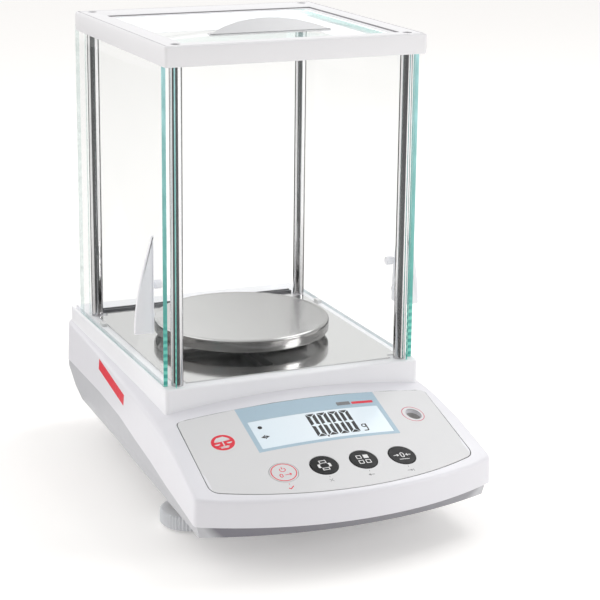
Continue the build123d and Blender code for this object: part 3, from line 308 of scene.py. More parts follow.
def pale_edge(name, col=(0.42, 0.70, 0.66), see=0.78):
    """Pane edge seen through the pane itself: a faint green line."""
    m, nt, out = new_mat(name)
    n1 = noise(nt, coords(nt), 260.0, 3.0, 0.6)
    b = N(nt, "ShaderNodeBsdfPrincipled")
    L(nt, mixcol(nt, maprange(nt, n1, 0.3, 0.7, 0.0, 1.0), tuple(x * 0.8 for x in col), col), b.inputs["Base Color"])
    L(nt, maprange(nt, n1, 0.3, 0.7, 0.15, 0.35), b.inputs["Roughness"])
    tr = N(nt, "ShaderNodeBsdfTransparent")
    tr.inputs["Color"].default_value = (0.94, 0.985, 0.975, 1.0)
    mx = N(nt, "ShaderNodeMixShader")
    L(nt, maprange(nt, n1, 0.3, 0.7, see - 0.08, see + 0.08), mx.inputs[0])
    L(nt, b.outputs[0], mx.inputs[1])
    L(nt, tr.outputs[0], mx.inputs[2])
    L(nt, mx.outputs[0], out.inputs["Surface"])
    return m


def printed(name, col, rough=0.4, painted_emission=0.0):
    """Screen-printed ink with slight pinholes and uneven gloss."""
    m, nt, out = new_mat(name)
    v = coords(nt)
    f = noise(nt, v, 2500.0, 2.0, 0.6)
    c = mixcol(nt, maprange(nt, f, 0.3, 0.7, 0.0, 1.0), tuple(x * 0.95 for x in col), tuple(min(1, x * 1.04 + 0.002) for x in col))
    b = principled(nt, out)
    L(nt, c, b.inputs["Base Color"])
    L(nt, maprange(nt, noise(nt, v, 300.0), 0.3, 0.7, rough - 0.05, rough + 0.08), b.inputs["Roughness"])
    L(nt, bump(nt, f, 0.15, 0.00001), b.inputs["Normal"])
    # optional painted glow: emission in the ink colour, painted light
    if painted_emission:
        L(nt, c, b.inputs["Emission Color"])
        b.inputs["Emission Strength"].default_value = painted_emission
    return m


def lit_display(name):
    """Pale backlit display: brighter towards the middle, with the fine pixel grid of the diffuser."""
    m, nt, out = new_mat(name)
    tc = N(nt, "ShaderNodeTexCoord")
    sep = N(nt, "ShaderNodeSeparateXYZ")
    L(nt, tc.outputs["Object"], sep.inputs[0])
    ab = N(nt, "ShaderNodeMath", operation="ABSOLUTE")
    L(nt, sep.outputs["X"], ab.inputs[0])
    c = mixcol(nt, maprange(nt, ab.outputs[0], 0.0, 0.046, 0.0, 1.0), (0.83, 0.90, 0.95), (0.76, 0.86, 0.93))
    f = noise(nt, tc.outputs["Object"], 900.0, 2.0, 0.5)
    c = mixcol(nt, maprange(nt, f, 0.3, 0.7, 0.0, 0.12), c, (0.70, 0.80, 0.88))
    b = principled(nt, out)
    L(nt, c, b.inputs["Base Color"])
    L(nt, c, b.inputs["Emission Color"])
    b.inputs["Emission Strength"].default_value = 0.06
    L(nt, maprange(nt, f, 0.3, 0.7, 0.16, 0.26), b.inputs["Roughness"])
    L(nt, bump(nt, f, 0.05, 0.00001), b.inputs["Normal"])
    return m


M = {}
M["housing"] = plastic("housing_white_plastic", (0.81, 0.805, 0.845), rough=0.36, vary=0.012, grain=2400.0, depth=0.000012, strength=0.18)
# band below the plinth: a darker grey copy of the housing's white, painted shade from the plinth wall
M["band"] = plastic("housing_band_plastic", (0.62, 0.62, 0.63), rough=0.5, vary=0.015)
# plinth: the housing's white plastic as a paler copy with a painted glow, painted light on its walls
M["plinth"] = plastic("plinth_white_plastic", (0.86, 0.86, 0.885), rough=0.36, vary=0.01, grain=2400.0, depth=0.000012, strength=0.18, painted_glow=0.05)
M["frame"] = plastic("frame_white_plastic", (0.85, 0.845, 0.865), rough=0.38, vary=0.012, grain=2400.0, depth=0.000012, strength=0.18)
M["lower"] = plastic("lower_grey_plastic", (0.50, 0.505, 0.53), rough=0.48, vary=0.03, grain=1800.0, depth=0.00003, strength=0.3)
# lower housing grey: its front strip is painted darker, darker still towards the left, as painted shade on the
# front-facing strip
m, nt, out = new_mat("lower_grey_two_tone")
v = coords(nt)
fine = noise(nt, v, 1800.0, 2.0, 0.6)
sepn = N(nt, "ShaderNodeSeparateXYZ")
L(nt, v, sepn.inputs[0])
base_c = mixcol(nt, maprange(nt, noise(nt, v, 14.0, 4.0, 0.55), 0.3, 0.7, 0.0, 1.0), (0.545, 0.55, 0.575), (0.575, 0.58, 0.605))
front_shade_c = mixcol(nt, maprange(nt, sepn.outputs["X"], -0.1, 0.1, 0.0, 1.0), (0.20, 0.195, 0.225), (0.32, 0.32, 0.345))
b = principled(nt, out)
# painted shade mask: faces in front of about Y -0.135 take the darker front tone
L(nt, mixcol(nt, maprange(nt, sepn.outputs["Y"], -0.1362, -0.1335, 1.0, 0.0), base_c, front_shade_c), b.inputs["Base Color"])
L(nt, maprange(nt, noise(nt, v, 160.0), 0.25, 0.75, 0.43, 0.54), b.inputs["Roughness"])
L(nt, bump(nt, fine, 0.3, 0.00003), b.inputs["Normal"])
M["lower"] = m
M["overlay"] = plastic("overlay_film_print", (0.73, 0.73, 0.74), rough=0.52, vary=0.012, grain=5200.0, depth=0.00001, strength=0.35, speck=0.10)
M["bezel"] = printed("bezel_blue_print", (0.42, 0.56, 0.66), 0.5)
M["lcd"] = lit_display("display_backlit")
M["ink_black"] = printed("segment_black", (0.008, 0.008, 0.010), 0.35)
M["ink_white"] = printed("key_print_white", (0.80, 0.80, 0.80), 0.45)
M["ink_red"] = printed("print_red", (0.78, 0.020, 0.045), 0.42)
M["ink_pink"] = printed("print_pale_red", (0.62, 0.16, 0.22), 0.42)
M["ink_grey"] = printed("print_grey", (0.20, 0.20, 0.21), 0.42)
M["key"] = plastic("key_black_plastic", (0.008, 0.008, 0.009), rough=0.5, vary=0.12, grain=3600.0, depth=0.00001, strength=0.3, spec=0.3)
M["key_white"] = plastic("key_pale_plastic", (0.72, 0.71, 0.72), rough=0.42, vary=0.015, grain=3600.0, depth=0.00001, strength=0.3)
M["wheel"] = plastic("wheel_grey_plastic", (0.76, 0.775, 0.80), rough=0.45, vary=0.04, grain=1600.0, depth=0.00003, strength=0.3)
# door handles: a painted glow brightens the fins and knobs, painted light on their front-facing sides
M["handle"] = plastic("handle_grey_plastic", (0.86, 0.855, 0.89), rough=0.34, vary=0.02, painted_glow=0.10)
M["grip"] = plastic("grip_grey_plastic", (0.70, 0.70, 0.715), rough=0.40, vary=0.02)
M["rubber"] = plastic("foot_rubber", (0.022, 0.022, 0.023), rough=0.72, vary=0.2, grain=900.0, depth=0.00008, strength=0.5, spec=0.3)
M["seal"] = plastic("seal_rubber", (0.12, 0.12, 0.13), rough=0.6, vary=0.15, grain=900.0, depth=0.00005, strength=0.4)
# pan top: tone falls off towards +X, a painted reflection of darker surroundings
M["pan"] = metal("pan_steel", (0.62, 0.615, 0.61), 0.23, "ring", centre=(0, 0.0404, 0), vary=0.03, strength=0.03, depth=0.000003, freq=3400.0, painted_shade=(-0.045, 0.055, (0.38, 0.375, 0.37), "X"))
# pan skirt: the pan's steel as a darker copy, darker again towards -X, painted reflection and shade
M["skirt"] = metal("pan_skirt_steel", (0.36, 0.352, 0.348), 0.20, "ring", centre=(0, 0.0404, 0), vary=0.12, strength=0.03, depth=0.000003, freq=900.0, painted_shade=(-0.022, -0.056, (0.12, 0.115, 0.11), "X"))
M["plate"] = metal("plate_steel", (0.66, 0.658, 0.655), 0.10, "line", (0.02, 1, 1), vary=0.03, strength=0.08, depth=0.000004, freq=3000.0)
# posts: tone darkens from 0.15 m down to 0.10 m height, painted shade and reflection on their lower part
M["chrome"] = metal("post_chrome", (0.78, 0.775, 0.79), 0.045, "line", (1, 1, 0.02), vary=0.03, strength=0.05, depth=0.000004, freq=4000.0, painted_shade=(0.150, 0.100, (0.52, 0.51, 0.52), "Z"))
M["screw"] = metal("screw_steel", (0.50, 0.50, 0.52), 0.3, "grain", freq=1500.0)
# frame screws: near-black steel standing in for the shade in their recesses, painted shade
M["screw_dark"] = metal("screw_blackened", (0.10, 0.085, 0.09), 0.35, "grain", freq=1500.0)
M["alu"] = metal("machined_aluminium", (0.62, 0.62, 0.64), 0.34, "line", (1, 0.05, 1), strength=0.3)
M["brass"] = metal("insert_brass", (0.70, 0.52, 0.22), 0.3, "grain", freq=1500.0)
M["coil"] = metal("coil_winding", (0.62, 0.24, 0.09), 0.35, "line", (0.05, 0.05, 1), strength=0.8, depth=0.00005, freq=1600.0)
M["iron"] = metal("pot_iron", (0.30, 0.30, 0.31), 0.32, "grain", freq=1200.0)
M["connector"] = metal("connector_shell", (0.58, 0.58, 0.58), 0.28, "grain", freq=1500.0)
M["black"] = plastic("moulded_black", (0.015, 0.015, 0.016), rough=0.45, vary=0.15)
M["board"] = plastic("circuit_board", (0.02, 0.16, 0.06), rough=0.35, vary=0.25, grain=420.0, depth=0.00004, strength=0.5, coat=0.3)
M["guide"] = plastic("guide_plastic", (0.75, 0.75, 0.75), rough=0.5, vary=0.03)
# level cup and vial: a painted glow lifts the shade inside the level's hole, painted light
M["cup"] = plastic("level_cup_plastic", (0.72, 0.71, 0.72), rough=0.4, vary=0.03, painted_glow=0.35)
M["vial"] = plastic("level_vial_liquid", (0.36, 0.37, 0.36), rough=0.10, vary=0.05, strength=0.02, coat=1.0, painted_glow=0.25)
M["bubble"] = plastic("level_bubble_air", (0.55, 0.57, 0.52), rough=0.08, vary=0.02, strength=0.02, coat=1.0)
M["glass"] = clear_glass("pane_clear")
M["pale"] = pale_edge("pane_edge_pale")
# pane edges: painted glow and painted internal-reflection ripple
M["edge"] = edge_glass("pane_edge", ribs=True)
# level sleeve: a painted glow lifts the shade in the level's hole, painted light
M["sleeve"] = plastic("level_sleeve_plastic", (0.40, 0.39, 0.39), rough=0.5, vary=0.05, painted_glow=0.10)
# groove round the film: near-black walls standing in for the shade inside the groove, painted shade
M["film_groove"] = plastic("panel_groove", (0.10, 0.10, 0.11), rough=0.6, vary=0.1)
# frame groove and inner step: grey and darker grey on the white moulding, painted shade for the lines at its steps
M["groove"] = plastic("frame_groove", (0.50, 0.49, 0.51), rough=0.5, vary=0.05)
M["groove_dark"] = plastic("frame_inner_step", (0.34, 0.33, 0.35), rough=0.5, vary=0.08)
# pane slots: pale colour with a strong painted glow, painted light over the shade inside the frame's slots
M["slot"] = printed("pane_slot_plastic", (0.88, 0.89, 0.90), 0.5, 0.5)
M["pale_top"] = pale_edge("top_pane_edge_pale", (0.16, 0.50, 0.44), 0.62)


# ------------------------------------------------------------------ mesh tools
def build(name, verts, faces, mats, fmats=None, merge=1e-7):
    me = bpy.data.meshes.new(name)
    me.from_pydata([(float(v[0]) * S, float(v[1]) * S, float(v[2]) * S) for v in verts], [], [tuple(f) for f in faces])
    for m in mats:
        me.materials.append(m)
    if fmats is not None:
        me.polygons.foreach_set("material_index", list(fmats))
    bm = bmesh.new()
    bm.from_mesh(me)
    bmesh.ops.remove_doubles(bm, verts=bm.verts, dist=merge)
    bmesh.ops.dissolve_degenerate(bm, edges=bm.edges, dist=merge)
    bmesh.ops.recalc_face_normals(bm, faces=bm.faces)
    bm.to_mesh(me)
    bm.free()
    ob = bpy.data.objects.new(name, me)
    bpy.context.scene.collection.objects.link(ob)
    return ob


def finish(ob, body, replaces=(), angle=38.0):
    me = ob.data
    me.polygons.foreach_set("use_smooth", [True] * len(me.polygons))
    me.set_sharp_from_angle(angle=math.radians(angle))
    me.update()
    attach(ob, body)
    if replaces:
        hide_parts(*replaces)
    return ob


def drop(ob):
    me = ob.data
    bpy.data.objects.remove(ob)
    if me.users == 0:
        bpy.data.meshes.remove(me)


def boolean(ob, cutter, op="DIFFERENCE", keep_cutter_material=False):
    md = ob.modifiers.new("b", "BOOLEAN")
    md.operation, md.object, md.solver = op, cutter, "EXACT"
    if keep_cutter_material:
        md.material_mode = "TRANSFER"
    bpy.context.view_layer.update()
    dg = bpy.context.evaluated_depsgraph_get()
    me = bpy.data.meshes.new_from_object(ob.evaluated_get(dg))
    ob.modifiers.remove(md)
    old = ob.data
    ob.data = me
    me.name = old.name + "_cut"
    bpy.data.meshes.remove(old)
    drop(cutter)
    return ob


def loft(rings, closed_v=False, caps=(True, True)):
    n, m = len(rings[0]), len(rings)
    verts = [p for r in rings for p in r]
    faces = []
    for j in range(m if closed_v else m - 1):
        a, b = j * n, ((j + 1) % m) * n
        for i in range(n):
            k = (i + 1) % n
            faces.append((a + i, a + k, b + k, b + i))
    if not closed_v:
        if caps[0]:
            faces.append(tuple(range(n - 1, -1, -1)))
        if caps[1]:
            faces.append(tuple((m - 1) * n + i for i in range(n)))
    return verts, faces


def merge_parts(*parts):
    verts, faces = [], []
    for v, f in parts:
        o = len(verts)
        verts += list(v)
        faces += [tuple(i + o for i in g) for g in f]
    return verts, faces


def rrect(x0, x1, y0, y1, r, n=6):
    """Rounded rectangle, counter-clockwise, with the same number of points for any size."""
    r = max(r, 1e-4)
    pts = []
    for cx, cy, a0 in ((x1 - r, y0 + r, -pi / 2), (x1 - r, y1 - r, 0), (x0 + r, y1 - r, pi / 2), (x0 + r, y0 + r, pi)):
        for i in range(n + 1):
            a = a0 + pi / 2 * i / n
            pts.append((cx + r * math.cos(a), cy + r * math.sin(a)))
    return pts


def circle(cx, cy, r, n=48):
    return [(cx + r * math.cos(2 * pi * i / n), cy + r * math.sin(2 * pi * i / n)) for i in range(n)]


def offset_ring(pts, d):
    """Moves each point of a closed counter-clockwise outline inwards by d."""
    n = len(pts)
    out = []
    for i in range(n):
        ax, ay = pts[i - 1]
        bx, by = pts[i]
        cx, cy = pts[(i + 1) % n]
        e1 = Vector((bx - ax, by - ay)).normalized()
        e2 = Vector((cx - bx, cy - by)).normalized()
        n1, n2 = Vector((-e1.y, e1.x)), Vector((-e2.y, e2.x))
        m = n1 + n2
        if m.length < 1e-6:
            m = n1.copy()
        m.normalize()
        k = d / max(0.35, m.dot(n1))
        out.append((bx + m.x * k, by + m.y * k))
    return out


def edge_profile(t, r, steps=4):
    """(inset, depth) pairs for a plate of thickness t with both edges rounded by r."""
    a = [(r * (1 - math.sin(pi / 2 * i / steps)), r * (1 - math.cos(pi / 2 * i / steps))) for i in range(steps + 1)]
    return a + [(i, t - d) for i, d in reversed(a)]


def plate(outline, t, r, place, steps=4):
    """Closed plate with rounded edges. place(u, v, depth) gives a point in mm."""
    rings = [[place(u, v, d) for u, v in offset_ring(outline, i)] for i, d in edge_profile(t, r, steps)]
    return loft(rings)


def lathe(profile, n=96, centre=(0, 0, 0), ex=(1, 0, 0), ey=(0, 1, 0), ez=(0, 0, 1), radial=None):
    """Revolves (r, z) points; r 0 at an end closes it. radial(angle, r, z) can change r."""
    c, ex, ey, ez = Vector(centre), Vector(ex), Vector(ey), Vector(ez)
    rings = []
    for r, z in profile:
        ring = []
        for i in range(n):
            a = 2 * pi * i / n
            rr = radial(a, r, z) if radial else r
            p = c + ex * (rr * math.cos(a)) + ey * (rr * math.sin(a)) + ez * z
            ring.append((p.x, p.y, p.z))
        rings.append(ring)
    return loft(rings)


def arc_pts(cx, cy, r, a0, a1, n):
    return [(cx + r * math.cos(math.radians(a0 + (a1 - a0) * i / n)), cy + r * math.sin(math.radians(a0 + (a1 - a0) * i / n)))
            for i in range(n + 1)]


def box_part(x0, x1, y0, y1, z0, z1):
    v = [(x, y, z) for z in (z0, z1) for x, y in ((x0, y0), (x1, y0), (x1, y1), (x0, y1))]
    f = [(3, 2, 1, 0), (4, 5, 6, 7), (0, 1, 5, 4), (1, 2, 6, 5), (2, 3, 7, 6), (3, 0, 4, 7)]
    return v, f


def cyl_part(cx, cy, r, z0, z1, n=64):
    return loft([[(x, y, z) for x, y in circle(cx, cy, r, n)] for z in (z0, z1)])


def print2d(loops, place, n0, n1):
    """Thin printed or filled shape with holes: loops[0] is the outline, the others are holes."""
    flat = [Vector((u, v, 0)) for lp in loops for u, v in lp]
    tris = tessellate_polygon([[Vector((u, v, 0)) for u, v in lp] for lp in loops])
    verts = [place(p.x, p.y, n1) for p in flat] + [place(p.x, p.y, n0) for p in flat]
    k = len(flat)
    faces = []
    for a, b, c in tris:
        faces.append((a, b, c))
        faces.append((c + k, b + k, a + k))
    o = 0
    for lp in loops:
        m = len(lp)
        for i in range(m):
            j = (i + 1) % m
            faces.append((o + i, o + i + k, o + j + k, o + j))
        o += m
    return verts, faces


def crowned_slab(x0, x1, v0, v1, n0, n1, nx, nv):
    """Sheet that follows the crowned panel."""
    top = [[P(x0 + (x1 - x0) * i / nx, v0 + (v1 - v0) * j / nv, n1) for i in range(nx + 1)] for j in range(nv + 1)]
    low = [[P(x0 + (x1 - x0) * i / nx, v0 + (v1 - v0) * j / nv, n0) for i in range(nx + 1)] for j in range(nv + 1)]
    verts = [p for r in top for p in r] + [p for r in low for p in r]
    w = nx + 1
    k = w * (nv + 1)
    faces = []
    for j in range(nv):
        for i in range(nx):
            a = j * w + i
            faces.append((a, a + 1, a + w + 1, a + w))
            faces.append((a + k, a + w + k, a + w + 1 + k, a + 1 + k))
    for i in range(nx):
        a, b = i, nv * w + i
        faces.append((a, a + k, a + 1 + k, a + 1))
        faces.append((b, b + 1, b + 1 + k, b + k))
    for j in range(nv):
        a, b = j * w, j * w + nx
        faces.append((a, a + w, a + w + k, a + k))
        faces.append((b, b + k, b + w + k, b + w))
    return verts, faces


def panel_prism(outline, n0=-14.0, n1=14.0):
    """Straight prism through the panel, on its chord plane's normal."""
    def q(u, v, n):
        return (u, PANEL_Y0 + v * ca - n * sa, PANEL_Z0 + v * sa + n * ca)
    return loft([[q(u, v, n) for u, v in outline] for n in (n0, n1)])


# ------------------------------------------------------------------ upper housing shell
def z_top(x, y):
    """Height of the housing's top: crowned panel, band up to the plinth, shoulders at the sides."""
    ax = abs(x)
    if ax >= CROWN_HALF:
        a = float(np.interp(y, STATIONS, TOP_AT_86))
        b = float(np.interp(y, STATIONS, TOP_AT_101))
        return a + (b - a) * (ax - CROWN_HALF) / 15.0
    c = crown(x)
    yb = PANEL_Y0 + 72.3 * ca - c * sa
    zb = PANEL_Z0 + 72.3 * sa + c * ca
    if y <= yb:
        return PANEL_Z0 + (y - PANEL_Y0) * TAN + c / ca
    ze = 71.85 + 6.3 * c / crown(0)
    t = min(1.0, (y - yb) / (-53.5 - yb))
    dip = 1.7 * math.sin(pi * min(1.0, t) ** 0.8) * (1 - smoothstep(62.0, 85.5, ax))
    z = zb + (ze - zb) * t - dip
    if y > -53.5:
        z = ze + (y + 53.5) * 0.02
    return z


def bezier(p0, p1, p2, n):
    out = []
    for i in range(1, n):
        t = i / n
        out.append(tuple((1 - t) ** 2 * a + 2 * t * (1 - t) * b + t * t * c for a, b, c in zip(p0, p1, p2)))
    return out


def plan_loop(half_front, y_corner, y_front, half_rear, y_rear, cut_f, cut_r, ys, rear_n=30, front_n=84, corner_n=8):
    """Closed plan outline, counter-clockwise from the front left, with the same point count for every loop."""
    h = y_corner - y_front
    R = (half_front ** 2 + h * h) / (2 * h)
    cy = y_front + R
    am = math.asin(half_front / R)
    af = am - cut_f / R
    front = [(R * math.sin(-af + 2 * af * i / front_n), cy - R * math.cos(-af + 2 * af * i / front_n)) for i in range(front_n + 1)]

    def side_x(y):
        return half_front + (half_rear - half_front) * (y - y_corner) / (y_rear - y_corner)
    y0, y1 = y_corner + cut_f, y_rear - cut_r
    yy = [y0 + (y1 - y0) * s for s in ys]
    right = [(side_x(y), y) for y in yy]
    xr = side_x(y_rear)
    rear = [(xr - cut_r - 2 * (xr - cut_r) * i / rear_n, y_rear) for i in range(rear_n + 1)]
    left = [(-x, y) for x, y in reversed(right)]
    pts = list(front)
    pts += bezier(front[-1], (half_front, y_corner), right[0], corner_n)
    pts += right
    pts += bezier(right[-1], (xr, y_rear), rear[0], corner_n)
    pts += rear
    pts += bezier(rear[-1], (-xr, y_rear), left[0], corner_n)
    pts += left
    pts += bezier(left[-1], (-half_front, y_corner), front[0], corner_n)
    return pts


def housing_shell():
    # share of the side's length at each sample, close together where the band is
    raw = np.concatenate([np.linspace(-127.0, -73.0, 24), np.linspace(-71.6, -50.0, 28), np.linspace(-47.5, 150.0, 52)])
    share = (raw + 127.0) / 277.0
    # outer plan, and the rim of the control film carried on to the rear
    nominal = plan_loop(99.6, -134.5, -158.5, 91.6, 159.06, 3.4, 9.06, share)
    rim = plan_loop(87.9, -131.4, -151.9, 83.5, 151.0, 4.4, 1.0, share)
    n = len(nominal)

    def at(i, z):
        """Outer wall point at height z (moulding draft)."""
        return off_cache(round((z - 20.0) * 0.03492 - 0.35, 3))[i]
    cache = {}

    def off_cache(d):
        if d not in cache:
            cache[d] = offset_ring(nominal, d)
        return cache[d]
    outer_cols = []
    inner_cols = []
    FIL = 2.3
    for i in range(n):
        x, y = nominal[i]
        zp = float(np.interp(y, PART_Y, PART_Z))
        # corner of the profile, where the wall meets the top
        zc = z_top(x, y)
        for _ in range(3):
            cx, cy = at(i, zc)
            zc = z_top(cx, cy)
        rx, ry = rim[i]
        D = math.hypot(rx - cx, ry - cy)
        fil = min(FIL, D * 0.45)
        ux, uy = (rx - cx) / D, (ry - cy) / D
        px, py = cx + ux * fil * 1.15, cy + uy * fil * 1.15
        p_in = (px, py, z_top(px, py))
        wall = []
        zw = zc - fil
        for k in range(7):
            z = zp + (zw - zp) * k / 6
            wx, wy = at(i, z)
            wall.append((wx, wy, z))
        col = list(wall)
        col += bezier(wall[-1], (cx, cy, zc), p_in, 8)
        col.append(p_in)
        for k in range(1, 6):
            s = k / 5
            qx, qy = px + (rx - px) * s, py + (ry - py) * s
            col.append((qx, qy, z_top(qx, qy)))
        # on towards the middle
        my = min(max(ry, -112.0), 128.0)
        for k in range(1, 13):
            s = k / 12
            qx, qy = rx * (1 - s), ry + (my - ry) * s
            col.append((qx, qy, z_top(qx, qy)))
        outer_cols.append(col)
        # inside of the wall and of the top, 2.5 thick
        ix, iy = offset_in(nominal, i, 2.6)
        zi = z_top(ix, iy) - 2.6
        icol = [(ix, iy, zp), (ix, iy, zi)]
        for k in range(1, 5):
            s = k / 4
            qx, qy = ix + (rx - ix) * s, iy + (ry - iy) * s
            icol.append((qx, qy, z_top(qx, qy) - 2.6))
        for k in range(1, 9):
            s = k / 8
            qx, qy = rx * (1 - s), ry + (my - ry) * s
            icol.append((qx, qy, z_top(qx, qy) - 2.6))
        inner_cols.append(icol)
    m = len(outer_cols[0])
    rings = [[outer_cols[i][k] for i in range(n)] for k in range(m)]
    q = len(inner_cols[0])
    irings = [[inner_cols[i][k] for i in range(n)] for k in range(q)]
    # one closed skin: inner centre -> inner rim -> lip -> outer wall -> outer centre
    allr = list(reversed(irings)) + rings
    return loft(allr, caps=(False, False)), len(allr)


def offset_in(pts, i, d):
    n = len(pts)
    ax, ay = pts[i - 1]
    bx, by = pts[i]
    cx, cy = pts[(i + 1) % n]
    e = Vector((cx - ax, cy - ay)).normalized()
    return bx - e.y * d, by + e.x * d


(hv, hf), _ = housing_shell()
housing = build("housing_shell", hv, hf, [M["housing"]], merge=2e-6)

film_outline = None


def film(grow=0.0, rt=3.6, rb=6.0, n=8):
    """Outline of the control film in panel coordinates, corners rounded."""
    g = grow
    h = 21.2
    a = 87.8 + g
    R = (a * a + h * h) / (2 * h)
    v_low = -18.0 - g
    cy = v_low + R
    am = math.asin(a / R)
    af = am - rb / R
    front = [(R * math.sin(-af + 2 * af * i / 80), cy - R * math.cos(-af + 2 * af * i / 80)) for i in range(81)]
    v0, v1 = 3.2 - g * 0.6, 71.8 + g
    x1 = 86.0 + g

    def sx(v):
        return a + (x1 - a) * (v - v0) / (v1 - v0)
    right = [(sx(v), v) for v in np.linspace(v0 + rb, v1 - rt, 16)]
    top = [(x, v1) for x in np.linspace(x1 - rt, -(x1 - rt), 60)]
    left = [(-x, v) for x, v in reversed(right)]
    pts = list(front) + bezier(front[-1], (a, v0), right[0], n) + right
    pts += bezier(right[-1], (x1, v1), top[0], n) + top
    pts += bezier(top[-1], (-x1, v1), left[0], n) + left
    pts += bezier(left[-1], (-a, v0), front[0], n)
    return [(float(u), float(v)) for u, v in pts]


# groove round the film, key wells, display opening, level hole, stem hole, port openings
groove_in, groove_out = film(-0.12), film(0.46)
groove = loft([[P(u, v, nn) for u, v in ring] for ring, nn in
               ((groove_in, -0.75), (groove_out, -0.75), (groove_out, 2.0), (groove_in, 2.0))], closed_v=True)
cut_parts = [groove]
for kx in KEY_X:
    o, ex, ey, ez = key_frame(kx)
    cut_parts.append(lathe([(KEY_R + 0.35, -9.0), (KEY_R + 0.35, 5.0)], 64, o, ex, ey, ez))
cut_parts.append(panel_prism(rrect(WIN[0] - 0.4, WIN[1] + 0.4, WIN[2] - 0.4, WIN[3] + 0.4, 0.8)))
level_pt = Vector(P(LEVEL_X, LEVEL_V, 0))
cut_parts.append(cyl_part(LEVEL_X, level_pt.y, LEVEL_R, level_pt.z - 12, level_pt.z + 8))
cut_parts.append(cyl_part(0, PAN_Y, 13.0, 60, 90))
cut_parts.append(box_part(-59.7, -28.3, 150.0, 166.0, 54.0, 67.0))
cut_parts.append(box_part(34.9, 49.1, 150.0, 166.0, 54.9, 66.1))
cut_parts.append(box_part(65.5, 74.5, 150.0, 166.0, 56.0, 68.0))
cutter = build("cut_housing", *merge_parts(*cut_parts[1:]), [M["housing"]])
boolean(housing, cutter)
# the groove walls take the near-black cutter material: painted shade in the recess
boolean(housing, build("cut_groove", *groove, [M["film_groove"]]), keep_cutter_material=True)
finish(housing, "base", ("upper_housing",), 30.0)

# sleeve from the panel down to the level's cup
up_pt, dn_pt = Vector(P(LEVEL_X, LEVEL_V + 5, 0)), Vector(P(LEVEL_X, LEVEL_V - 5, 0))
rise = (up_pt.z - dn_pt.z) / (up_pt.y - dn_pt.y)
sleeve_rings = []
for r, d, tilt in ((5.22, -7.2, 0.0), (5.22, -4.5, 0.5), (5.22, -1.3, 1.0), (5.7, -1.5, 1.0), (6.0, -4.5, 0.5), (6.0, -7.2, 0.0)):
    sleeve_rings.append([(LEVEL_X + r * math.cos(a), level_pt.y + r * math.sin(a), level_pt.z + d + tilt * rise * r * math.sin(a))
                         for a in (2 * math.pi * i / 72 for i in range(72))])
sleeve = build("level_sleeve", *loft(sleeve_rings, closed_v=True), [M["sleeve"]])
finish(sleeve, "base", (), 40.0)

# ------------------------------------------------------------------ plinth under the weighing chamber
ring_profile = [(0.0, 69.3), (0.0, 85.9)]
ring_profile += [(1.5 * (1 - math.cos(math.radians(a))), 86.1 + 1.5 * math.sin(math.radians(a))) for a in (0, 18, 36, 54, 72, 90)]
ring_profile += [(6.0, 87.6)]
plinth_rings = []
for inset, z in ring_profile:
    pr = rrect(-88.2 + inset, 88.2 - inset, -53.5 + inset, 153.7 - inset, max(3.0 - inset, 0.6), 8)
    plinth_rings.append([(u, v, z) for u, v in pr])
plinth = build("housing_plinth", *loft(plinth_rings), [M["plinth"]])
cut_parts = [cyl_part(0, PAN_Y, 13.0, 60, 95), box_part(-71, 71, -38, 115, 60, 84.8)]
for sgn in (-1, 1):
    xa, xb = sorted((sgn * 83.85, sgn * 87.15))
    cut_parts.append(box_part(xa, xb, -46.1, 170.0, 85.1, 92.0))
plinth = boolean(plinth, build("cut_plinth", *merge_parts(cut_parts[1], cut_parts[2], cut_parts[3]), [M["plinth"]]))
plinth = boolean(plinth, build("cut_plinth2", *cut_parts[0], [M["plinth"]]))
finish(plinth, "base", (), 32.0)

# ------------------------------------------------------------------ control film, window, prints
overlay = build("control_film", *crowned_slab(-92, 92, -22, 76, -0.5, 0.1, 46, 24), [M["overlay"]])
boolean(overlay, build("cut_film", *panel_prism(film(0.0)), [M["overlay"]]), "INTERSECT")
cut_parts = [panel_prism(rrect(WIN[0] - 0.1, WIN[1] + 0.1, WIN[2] - 0.1, WIN[3] + 0.1, 0.8))]
for kx in KEY_X:
    o, ex, ey, ez = key_frame(kx)
    cut_parts.append(lathe([(KEY_R + 0.25, -9.0), (KEY_R + 0.25, 5.0)], 96, o, ex, ey, ez))
cut_parts.append(cyl_part(LEVEL_X, level_pt.y, LEVEL_R, level_pt.z - 12, level_pt.z + 8))
boolean(overlay, build("cut_film2", *merge_parts(*cut_parts), [M["overlay"]]))
finish(overlay, "base", ("control_overlay",), 30.0)

bezel = build("display_bezel_print", *crowned_slab(-48.5, 48.5, 26.5, 72.5, 0.04, 0.13, 28, 6), [M["bezel"]])
boolean(bezel, build("cut_bezel", *panel_prism([(-47.8, 27.6), (47.8, 27.6), (47.8, 71.75), (-47.8, 71.75)]), [M["bezel"]]), "INTERSECT")
boolean(bezel, build("cut_bezel2", *panel_prism(rrect(WIN[0] - 0.1, WIN[1] + 0.1, WIN[2] - 0.1, WIN[3] + 0.1, 0.8)), [M["bezel"]]))
finish(bezel, "base", (), 30.0)

window = build("display_window_pane", *crowned_slab(-46, 46, 29, 58.5, -1.8, 0.07, 26, 4), [M["lcd"]])
boolean(window, build("cut_win", *panel_prism(rrect(WIN[0], WIN[1], WIN[2], WIN[3], 0.7)), [M["lcd"]]), "INTERSECT")
finish(window, "base", ("display_window",), 30.0)


